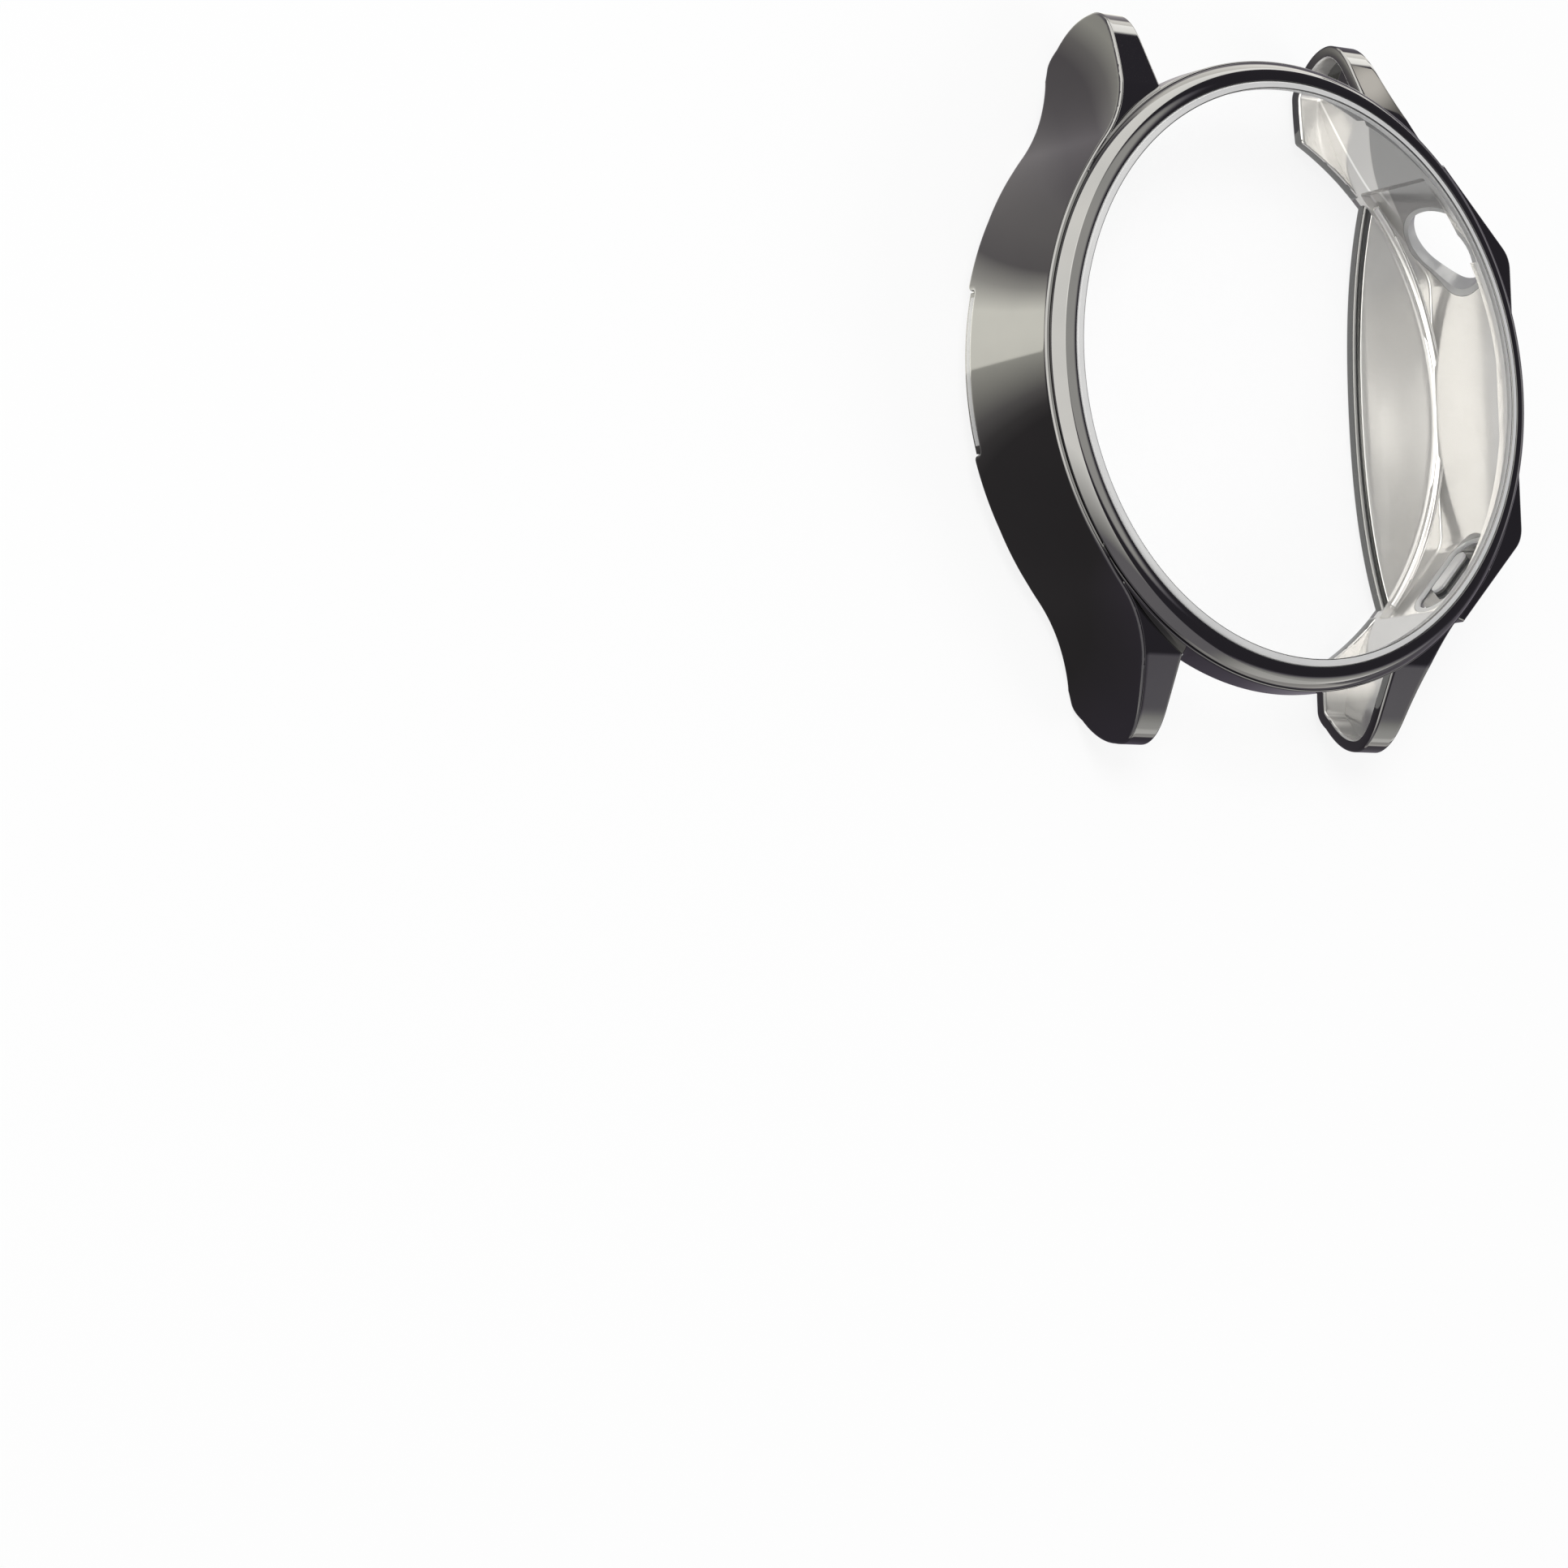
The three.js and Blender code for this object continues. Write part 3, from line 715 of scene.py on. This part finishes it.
# %% Cut the pocket, the hole and the slot, and keep the rim of the hole
pocket = scratch_object(prism(guard_plan(wall), guard_low + wall, guard_high - wall, 0.2), "pocket", True)
combine(right_wall, pocket, "DIFFERENCE")
rim_source = new_object("rim_source", right_wall.data.copy())
combine(rim_source, bore(hole_radius + rim_width, "rim_outside"), "INTERSECT")
combine(rim_source, bore(hole_radius, "rim_inside"), "DIFFERENCE")
combine(right_wall, bore(hole_radius + rim_width + 0.02, "hole"), "DIFFERENCE")
combine(right_wall, scratch_object(button_pill(1.6, -3.2, 2.0), "slot", True), "DIFFERENCE")
print("right wall faces:", len(right_wall.data.polygons))


# %% Turn the cut meshes into pieces with small rounded edges
def finish_cut(source, name, finishes, node, rounding):
    bm = taken_mesh(source)
    bmesh.ops.remove_doubles(bm, verts=bm.verts, dist=1e-3)
    bmesh.ops.dissolve_degenerate(bm, edges=bm.edges[:], dist=1e-3)
    for face in bm.faces:
        face.material_index = min(face.material_index, len(finishes) - 1)
    return place_piece(bm, name, finishes, node, rounding=rounding)


right_piece = finish_cut(right_wall, "right_plated_wall", [gunmetal, silver], "right_side_wall", 0.12)
mark_band(right_piece.data)
# Painted dark reflection: the faces inside the upper lug's front take the dark plating, standing in for the
# dark that this silver inside mirrors.
for face in right_piece.data.polygons:
    y, z = face.center.y / MM, face.center.z / MM
    if y > 23.5 and z > 6.6 - 1.8 * (y - 24.0):  # the inside of the upper lug's front is plated
        face.material_index = 0
finish_cut(rim_source, "clear_crown_rim", [rubber], "crown_rim", 0.17)

# %% [markdown]
# ## Button cover
# The cover is a pill that stands proud of its facet, carried by a thin clear web, with a bar behind it
# that meets the watch's button. The cap and the bar move with the button.

# %% Cap, pusher and web
cap_back = button_proud - 1.3
cap = button_pill(0.0, cap_back, button_proud, 0.32)
finish_piece(cap, "plated_button_cap", [gunmetal], "button_cap", body="button")
pusher = pill(4.6, 1.1, cap_back - 0.5, cap_back - 0.05)
move(pusher, button_place)
finish_piece(pusher, "clear_button_pusher", [rubber], "button_pusher", body="button")
web = scratch_object(pill(button_length + 1.5, button_width + 1.5, -wall, 0.35 - wall), "web")
web_hole = scratch_object(pill(button_length + 0.6, button_width + 0.6, -3.0, 3.0), "web_hole")
combine(web, web_hole, "DIFFERENCE")
bm = taken_mesh(web)
move(bm, button_place)
paint(bm)
finish_piece(bm, "clear_button_web", [rubber], "button_web")

# %% [markdown]
# ## Lug covers
# Each lug cover is a strip bent into a U along the rail's side outline: down the front of the lug,
# round its tip and back along the rear. It is a tube of rounded section drawn as a grid, one way along
# the outline and the other way round the section.

# %% A closed section carried along a path
def section_tube(columns, section, place):
    """A grid wrapped into a tube. The place function says where a column has a point of the section."""
    rows = len(section)
    bm = bmesh.new()
    grid = bmesh.ops.create_grid(bm, x_segments=columns - 1, y_segments=rows, size=1.0)["verts"]
    for vert in grid:
        i = round((vert.co.x + 1) / 2 * (columns - 1))
        j = round((vert.co.y + 1) / 2 * rows) % rows
        vert.co = place(i, *section[j])
    bmesh.ops.remove_doubles(bm, verts=bm.verts, dist=1e-4)
    for at in (0, columns - 1):
        corners = [place(at, *part) for part in section]
        ends = [v for v in bm.verts if v.is_boundary and min((v.co - c).length for c in corners) < 2e-3]
        edges = [e for e in bm.edges if e.is_boundary and e.verts[0] in ends and e.verts[1] in ends]
        if len(edges) > 2:
            bmesh.ops.holes_fill(bm, edges=edges, sides=0)
    return bm


def rounded_section(depth, near, far, faces_across=10, arc_steps=4):
    """Points (share across, shift, depth) round a rectangle with a near and a far rounding."""
    points = []
    corners = [(0, 0, near, 2), (1, 0, far, 3), (1, 1, far, 0), (0, 1, near, 1)]
    for a, d, radius, quarter in corners:
        for k in range(arc_steps + 1):
            angle = math.pi / 2 * (quarter + k / arc_steps)
            shift_a, shift_d = (radius * (wave(angle) + 1 - 2 * at)
                                for wave, at in ((math.cos, a), (math.sin, d)))
            points.append((a, shift_a, d * depth + shift_d))
        if a == d:
            points += [(a + (1 - 2 * a) * k / faces_across, 0.0, d * depth) for k in range(1, faces_across)]
    return points


# %% Path of a lug cover, outside and inside
def outward(points):
    """Outward normals of a path that runs front, tip, rear."""
    normals = []
    for i in range(len(points)):
        a, b = Vector(points[max(i - 1, 0)]), Vector(points[min(i + 1, len(points) - 1)])
        along = (b - a).normalized()
        normals.append(Vector((-along.y, along.x)))
    return normals


def resampled(points, count):
    """The same line with a given number of points at even distances."""
    lengths = [0.0]
    for a, b in zip(points, points[1:]):
        lengths.append(lengths[-1] + (Vector(b) - Vector(a)).length)
    out = []
    for k in range(count):
        want = lengths[-1] * k / (count - 1)
        i = min(max(bisect.bisect_right(lengths, want), 1), len(points) - 1)
        share = (want - lengths[i - 1]) / (lengths[i] - lengths[i - 1])
        out.append(Vector(points[i - 1]).lerp(Vector(points[i]), share))
    return out


cover_rise = 0.65
cover_points = 150
cover_path = [(y, z) for y, z in side_path(cover_rise, start=9.0) if y >= flare_reach - 0.3]
cover_path = [tuple(p) for p in resampled(cover_path, cover_points)]


def distance_to_path(point):
    return min((Vector(q) - point).length for q in cover_path)


inside_path = [Vector(p) - n * wall for p, n in zip(cover_path, outward(cover_path))]
inside_path = [tuple(p) for p in inside_path if distance_to_path(p) > wall * 0.985]
inside_path = resampled(inside_path, cover_points)
print("lug cover path points:", cover_points)

# %% The four lug covers
sides = ((1, "right"), (-1, "left"))
strap_ends = ((1, "upper"), (-1, "lower"))
lug_section = rounded_section(wall, 0.22, 0.03)


def lug_shell(side_x, side_y):
    """A lug cover, from its free edge at the strap to just inside the side wall, silver inside."""
    def place(i, a, shift, depth):
        y, z = Vector(cover_path[i]).lerp(inside_path[i], depth / wall)
        left = max(strap_half, math.sqrt(max(inner_radius ** 2 - y * y, 0.0)))
        point, normal = plan(y)
        right = max(point.x - wall * 0.2 / max(normal.x, 0.3), left + 0.02)
        reach = right - left
        x = left + a * reach + max(-reach / 2, min(reach / 2, shift))
        return Vector((side_x * x, side_y * y, z))

    bm = section_tube(cover_points, lug_section, place)
    paint(bm, lambda at: distance_to_path(Vector((at.y * side_y, at.z))) > wall * 0.9)
    return bm


for side_x, side_name in sides:
    for side_y, end_name in strap_ends:
        name = "%s_%s_lug" % (end_name, side_name)
        finish_piece(lug_shell(side_x, side_y), name + "_shell", [gunmetal, silver], name + "_cover")

# %% [markdown]
# ## Skirts
# Between the lugs the side wall is cut down to a short skirt under the bezel. It is a closed section
# swept along its arc, and its lower edge steps up where it passes over a lug.

# %% Upper and lower skirts
skirt_outer = body_radius - 0.2
skirt_limit = math.acos(14.2 / skirt_outer)
skirt_steps = 90
step_run, step_gap = 0.25, 0.04


def front_height(y):
    """Height of the lug covers' front edge at a reach along the strap."""
    path = side_path(0.0)
    for (y0, z0), (y1, z1) in zip(path, path[1:]):
        if y0 <= y <= y1 and y1 > y0:
            return z0 + (z1 - z0) * (y - y0) / (y1 - y0)
    return path[0][1]


skirt_section = rounded_section(1.0, 0.12, 0.12, faces_across=4)
for side_y, name in strap_ends:
    def skirt_place(k, a, shift, depth):
        angle = skirt_limit * (k / skirt_steps - 1)
        radius = inner_radius + a * (skirt_outer - inner_radius) + shift
        y = radius * math.cos(angle)
        over_lug = (abs(skirt_outer * math.sin(angle)) - strap_half + step_run) / step_run
        over_lug = min(max(over_lug, 0.0), 1.0)
        low = skirt_low + (front_height(y) + step_gap - skirt_low) * over_lug
        return Vector((radius * math.sin(angle), side_y * y, rail_top - (rail_top - low) * depth))

    bm = section_tube(2 * skirt_steps + 1, skirt_section, skirt_place)
    finish_piece(bm, name + "_skirt_band", [gunmetal], name + "_skirt")

# %% [markdown]
# ## Rear flanges
# Each flange is a dished lip that holds the watch from behind. Its free edge is bowed and carries a
# thin line of plating, its root has a fillet, and it shows as a clear strip in the relief of the wall.

# %% Shape of a flange
flange_chord = inner_radius - 7.7
flange_reach = math.sqrt(flange_rim ** 2 - flange_chord ** 2)
flange_inside = flange_chord - wall
flange_bow = 1.2
flange_thickness = 0.9
root_fillet = 0.8
edge_width = 0.75
flange_steps = 160


def bow(share, inset):
    """A point of the bowed free edge."""
    ends, middle = flange_chord + flange_bow + inset, flange_chord - flange_bow + inset
    weights = ((1 - share) ** 2, 2 * share * (1 - share), share * share)
    x = sum(w * v for w, v in zip(weights, (ends, middle, ends)))
    return Vector((x, flange_reach * (2 * share - 1)))


def dish_height(point):
    share = (point.length - flange_inside) / (flange_rim - flange_inside)
    return 0.15 + 1.3 * share * abs(share)


def rim_x(y):
    return math.sqrt(max(flange_rim ** 2 - y * y, 0.0))


def first_share(inset):
    """Where the bowed edge, drawn in by the inset, comes out of the wall."""
    low, high = 0.0, 0.5
    for _ in range(40):
        middle = (low + high) / 2
        point = bow(middle, inset)
        low, high = (middle, high) if point.x > rim_x(point.y) - 0.03 else (low, middle)
    return high


def flange_strip(side, section, near, far=None):
    """A strip of a flange, from the inset near to the inset far, or to the wall with a fillet."""
    first = first_share(near)
    starts = [bow(first + (1 - 2 * first) * k / flange_steps, near) for k in range(flange_steps + 1)]

    def place(k, a, shift, depth):
        start = starts[k]
        run = rim_x(start.y) - start.x
        if far:
            run = min(run, far - near)
        share = a if far else 1 - (1 - a) ** 1.8
        x = start.x + share * run + max(-run / 2, min(run / 2, shift))
        thick = flange_thickness
        if not far:
            near_root = max(0.0, root_fillet - (start.x + run - x))
            thick += root_fillet - math.sqrt(root_fillet ** 2 - near_root ** 2)
        return Vector((side * x, start.y, dish_height(Vector((x, start.y))) + thick * (1 - depth)))

    return section_tube(flange_steps + 1, section, place)


# %% Clear strips in the reliefs
strip_half, strip_low, strip_high = relief_half - 0.06, 1.48, relief_top - 0.06
strip_corner = 0.5
strip = [(strip_half, strip_low)]
strip += quad((strip_half, strip_high - strip_corner), (strip_half, strip_high),
              (strip_half - strip_corner, strip_high), 6)
strip += [(-y, z) for y, z in reversed(strip)]
for side, name in sides:
    bm = flat_plate(evenly(strip, 0.3), 0.42, 0.08, row_step=0.4)
    bmesh.ops.translate(bm, vec=(-0.35, 0, 0), verts=bm.verts)
    # The lower edge of each strip takes the dark plating as a thin line. Its two ends take it as painted
    # shade for the gaps at the ends of the relief.
    paint(bm, lambda at: at.z < strip_low + 0.17 or abs(at.y) > strip_half - 0.55)
    bend(bm)
    move(bm, Matrix.Diagonal((side, 1, 1, 1)))
    finish_piece(bm, name + "_relief_strip", [rubber, gunmetal], name + "_rear_flange")

# %% Sweep the flanges and their edges
flange_section = rounded_section(1.0, 0.08, 0.05, faces_across=16)
edge_section = rounded_section(1.0, 0.25, 0.02, faces_across=3)
for side, name in sides:
    bm = flange_strip(side, flange_section, edge_width + 0.01)
    finish_piece(bm, name + "_flange_lip", [silver], name + "_rear_flange")
    bm = flange_strip(side, edge_section, 0.0, edge_width)
    finish_piece(bm, name + "_flange_plated_edge", [gunmetal], name + "_flange_edge")

# %% [markdown]
# ## Floor, light and reflections
# The floor is plain and white to the camera and keeps a soft shadow. A dark mirror needs something
# to reflect, so a studio that only the gloss sees has a few bright panels on a dim ground, as a
# product photographer would hang round a plated object.

# %% Floor
def seen_share(tree):
    """1 for rays from the camera, from a gloss and through glass, 0 for light on its way."""
    rays = new_node(tree, "ShaderNodeLightPath").outputs
    seen = math_node("MAXIMUM", rays["Is Camera Ray"], rays["Is Glossy Ray"])
    return math_node("MAXIMUM", seen, rays["Is Transmission Ray"])


floor_material, tree = new_material("pale_floor")
skin = tree.nodes["Principled BSDF"]
fill(skin, {"Base Color": (0.85, 0.85, 0.85, 1), "Roughness": 0.9, "Specular IOR Level": 0.0})
glow = new_node(tree, "ShaderNodeEmission", {"Color": (0.97, 0.97, 0.97, 1), "Strength": 1.0})
share = math_node("MULTIPLY", seen_share(tree), 0.88)
mix = new_node(tree, "ShaderNodeMixShader", {0: share, 1: skin.outputs[0], 2: glow.outputs[0]})
fill(tree.nodes["Material Output"], {"Surface": mix.outputs[0]})
bm = rectangle(6.0, 6.0)
bmesh.ops.translate(bm, vec=(0, 0, -0.05 * MM), verts=bm.verts)
new_object("floor", new_mesh(bm, "floor", floor_material))

# %% Helpers for what only the gloss sees
def glow_material(name):
    """An emission material, with its shader and the place that it is seen at."""
    material, tree = new_material(name)
    tree.nodes.remove(tree.nodes["Principled BSDF"])
    glow = new_node(tree, "ShaderNodeEmission")
    fill(tree.nodes["Material Output"], {"Surface": glow.outputs[0]})
    return material, glow, new_node(tree, "ShaderNodeTexCoord").outputs["Object"]


def stage_mesh(bm, name, material):
    thing = new_object(name, new_mesh(bm, name, material))
    for way in ("camera", "diffuse", "transmission", "volume_scatter", "shadow"):
        setattr(thing, "visible_" + way, False)


def vector_value(how, first, second=(0, 0, 0)):
    return fed_node("ShaderNodeVectorMath", {0: first, 1: second}, operation=how).outputs["Value"]


# %% [markdown]
# The upright walls mirror only a strip of floor about a centimetre wide at their foot. A ring-shaped
# reflector lies there: a bright wedge beside the middle of each side, fading to mid grey towards
# 12 o'clock and to near black towards 6 o'clock. Its far part lights the lower flanks of the bezel,
# and a shade on the right keeps the flank behind the window dark.

# %% Reflector ring on the floor
reflector, glow, spot = glow_material("floor_reflector")
axes = axes_of(spot)
across, along = (math_node("ABSOLUTE", axes[key]) for key in "XY")
wedge_slant, ramp_span, peak = 0.3, 40.0, 4.0
twist = math_node("MULTIPLY_ADD", across, -wedge_slant, wedge_slant * 26 * MM)
wedge = math_node("ADD", axes["Y"], twist)
cool, warm = Vector((1.0, 0.93, 0.98)), Vector((1.0, 0.985, 0.90))
# Each stop is a place in millimetres, a brightness and a warmth.
wedge_stops = [
    (-20.0, 0.13, 0.0), (-8.4, 0.15, 0.0), (-6.6, 0.24, 0.2), (-4.7, 0.50, 0.4), (-2.4, 1.10, 0.9),
    (0.15, 1.75, 1.0), (0.35, 3.55, 1.0), (3.0, 3.70, 1.0), (6.0, 3.65, 1.0), (9.0, 1.6, 0.8),
    (11.6, 0.55, 0.2), (16.0, 0.60, 0.3), (20.0, 0.60, 0.3),
]
beyond_stops = [
    (20.0, 0.58, 0.2), (23.0, 0.48, 0.0), (26.6, 0.45, 0.0), (28.4, 0.75, 0.5), (30.2, 1.55, 1.0),
    (32.5, 1.5, 0.9), (38.0, 0.75, 0.0), (60.0, 0.75, 0.0),
]


def floor_tone(value, stops):
    """Colours along the floor from a list of stops."""
    first = stops[0][0]
    share = ramp_node(value, first * MM, (first + ramp_span) * MM)
    node = fed_node("ShaderNodeValToRGB", {"Fac": share})
    elements = node.color_ramp.elements
    while len(elements) < len(stops):
        elements.new(0.5)
    for element, (at, bright, warmth) in zip(elements, stops):
        element.position = (at - first) / ramp_span
        element.color = (*(cool.lerp(warm, warmth) * bright / peak), 1)
    return node.outputs[0]


near_tone = mix_node(ramp_node(wedge, 18 * MM, 22 * MM), floor_tone(wedge, wedge_stops),
                     floor_tone(axes["Y"], beyond_stops))
near_tone = mix_node(ramp_node(axes["Y"], -23 * MM, -28 * MM), near_tone, (0.043, 0.038, 0.048, 1))
ahead = math_node("MULTIPLY_ADD", axes["X"], -1.05, along)
far_share = ramp_node(axes["Y"], -70 * MM, -30 * MM, 0.42, 1.0)
for value, low, high in ((axes["X"], -25, 5), (ahead, -4, 10)):
    far_share = math_node("MULTIPLY", far_share, ramp_node(value, low * MM, high * MM))
far_tone = mix_node(far_share, (0.10, 0.095, 0.105, 1), (0.72, 0.70, 0.66, 1))
far = ramp_node(vector_value("LENGTH", spot), 52 * MM, 66 * MM)
shade = math_node("MULTIPLY", ramp_node(axes["X"], 2 * MM, 10 * MM), ramp_node(along, 53 * MM, 45 * MM))
floor_colour = mix_node(shade, mix_node(far, near_tone, far_tone), (0.062, 0.057, 0.066, 1))
fill(glow, {"Color": floor_colour, "Strength": peak})
bm = bmesh.new()
start = bmesh.ops.create_circle(bm, cap_ends=False, segments=3, radius=1.0)["verts"]
bmesh.ops.delete(bm, geom=[start[2]], context="VERTS")
for vert, reach in zip(bm.verts, (24.6 * MM, 0.8)):
    vert.co = (reach, 0, 0.01 * MM)
spin_round(bm, 128)
stage_mesh(bm, "floor_reflector", reflector)

# %% [markdown]
# Above the floor hangs a dome of near black with four soft panels. A very wide one low on the left
# lights the left walls and the outer flank of the bezel, one nearly overhead lights its crest, and
# two small ones on the right light the inside and the right edge.

# %% Studio dome
dome_material, glow, spot = glow_material("studio_dome")
aim = fed_node("ShaderNodeVectorMath", {0: spot}, operation="NORMALIZE").outputs[0]
near_side = ramp_node(axes_of(aim)["Y"], -0.75, -0.30, 0.15, 1.0)
dome_base = 0.13
panels = [
    # direction, cosine of the half angle, softness, strength, dimmed towards 6 o'clock
    ((-0.554, 0.012, -0.832), -0.47, 0.05, 4.2, near_side),
    ((0.05, 0.25, 0.967), 0.90, 0.08, 1.75, 1.0),
    ((0.66, -0.75, 0.05), 0.99, 0.18, 1.7, 1.0),
    ((0.99, 0.15, -0.02), 0.985, 0.04, 0.9, 1.0),
]
level = dome_base
for direction, edge, soft, strength, dimmer in panels:
    facing = vector_value("DOT_PRODUCT", aim, Vector(direction).normalized())
    panel = ramp_node(facing, edge - soft, edge, 0.0, strength, interpolation_type="SMOOTHSTEP")
    level = math_node("MULTIPLY_ADD", panel, dimmer, level)
lit_share = ramp_node(level, 0.15, 1.2)
lit_tone = mix_node(lit_share, (0.95, 0.87, 1.08, 1), (1.0, 0.985, 0.95, 1))
fill(glow, {"Strength": level, "Color": lit_tone})
bm = bmesh.new()
bmesh.ops.create_uvsphere(bm, u_segments=64, v_segments=32, radius=0.8)
bmesh.ops.bisect_plane(bm, geom=bm.verts[:] + bm.edges[:] + bm.faces[:], plane_co=(0, 0, 0),
                       plane_no=(0, 0, 1), clear_inner=True)
stage_mesh(bm, "studio_dome", dome_material)
print("dome panels:", len(panels))

# %% [markdown]
# A small warm card stands beside the upper right lug, brightest at its middle, to give the front of
# that lug its soft highlight.

# %% Card beside the upper right lug
card_material, glow, spot = glow_material("lug_card")
card_middle = Vector((17.6, 30.3, 10.4)) * MM
fade = ramp_node(vector_value("DISTANCE", spot, card_middle), 0.4 * MM, 3.6 * MM, 2.9, 0.6,
                 interpolation_type="SMOOTHSTEP")
fill(glow, {"Color": (1.0, 0.95, 0.88, 1), "Strength": fade})
bm = rectangle(9.0 * MM, 2.8 * MM)
card_turn = Vector((-0.672, -0.697, -0.10)).to_track_quat("Z", "Y").to_matrix().to_4x4()
move(bm, Matrix.Translation(card_middle) @ card_turn)
stage_mesh(bm, "lug_card", card_material)

# %% [markdown]
# The world is plain white and a little dimmer as light than as background. Two soft lamps, which no
# mirror shows, give the floor its shadow.

# %% World and lamps
world = bpy.data.worlds.new("studio")
bpy.context.scene.world = world
world.use_nodes = True
sky = ramp_node(seen_share(world.node_tree), 0.0, 1.0, 0.7, 1.0)
fill(world.node_tree.nodes["Background"], {"Color": (1, 1, 1, 1), "Strength": sky})


def softbox(name, place, size, power):
    data = bpy.data.lights.new(name, "AREA")
    data.shape, data.size, data.energy = "DISK", size, power
    lamp = new_object(name, data)
    lamp.location = place
    lamp.rotation_euler = (-Vector(place)).to_track_quat("-Z", "Y").to_euler()
    lamp.visible_glossy = False


softbox("key_softbox", (-0.25, 0.15, 0.45), 0.25, 1.6)
softbox("fill_softbox", (0.35, -0.2, 0.4), 0.3, 0.8)
print("lamps:", sorted(lamp.name for lamp in bpy.data.lights))

# %% [markdown]
# The camera is the photograph's own, solved from the circle of the window and the planes of the case.

# %% Camera of the photograph
camera_data = bpy.data.cameras.new("camera")
camera_data.sensor_width, camera_data.lens = 36.0, 120.07
camera_data.clip_start, camera_data.clip_end = 0.01, 10.0
camera = new_object("camera", camera_data)
right = Vector((0.802573, -0.033240, 0.595627))
down = Vector((0.022016, -0.996116, -0.085255))
forward = Vector((0.596147, 0.081536, -0.798724))
camera.matrix_world = Matrix.Translation(Vector((-273.143, -63.390, 309.689)) * MM) @ Matrix(
    (right, -down, -forward)).transposed().to_4x4()
bpy.context.scene.camera = camera
bpy.context.scene.view_settings.view_transform = "Standard"

# %% Finish
print("scene built")
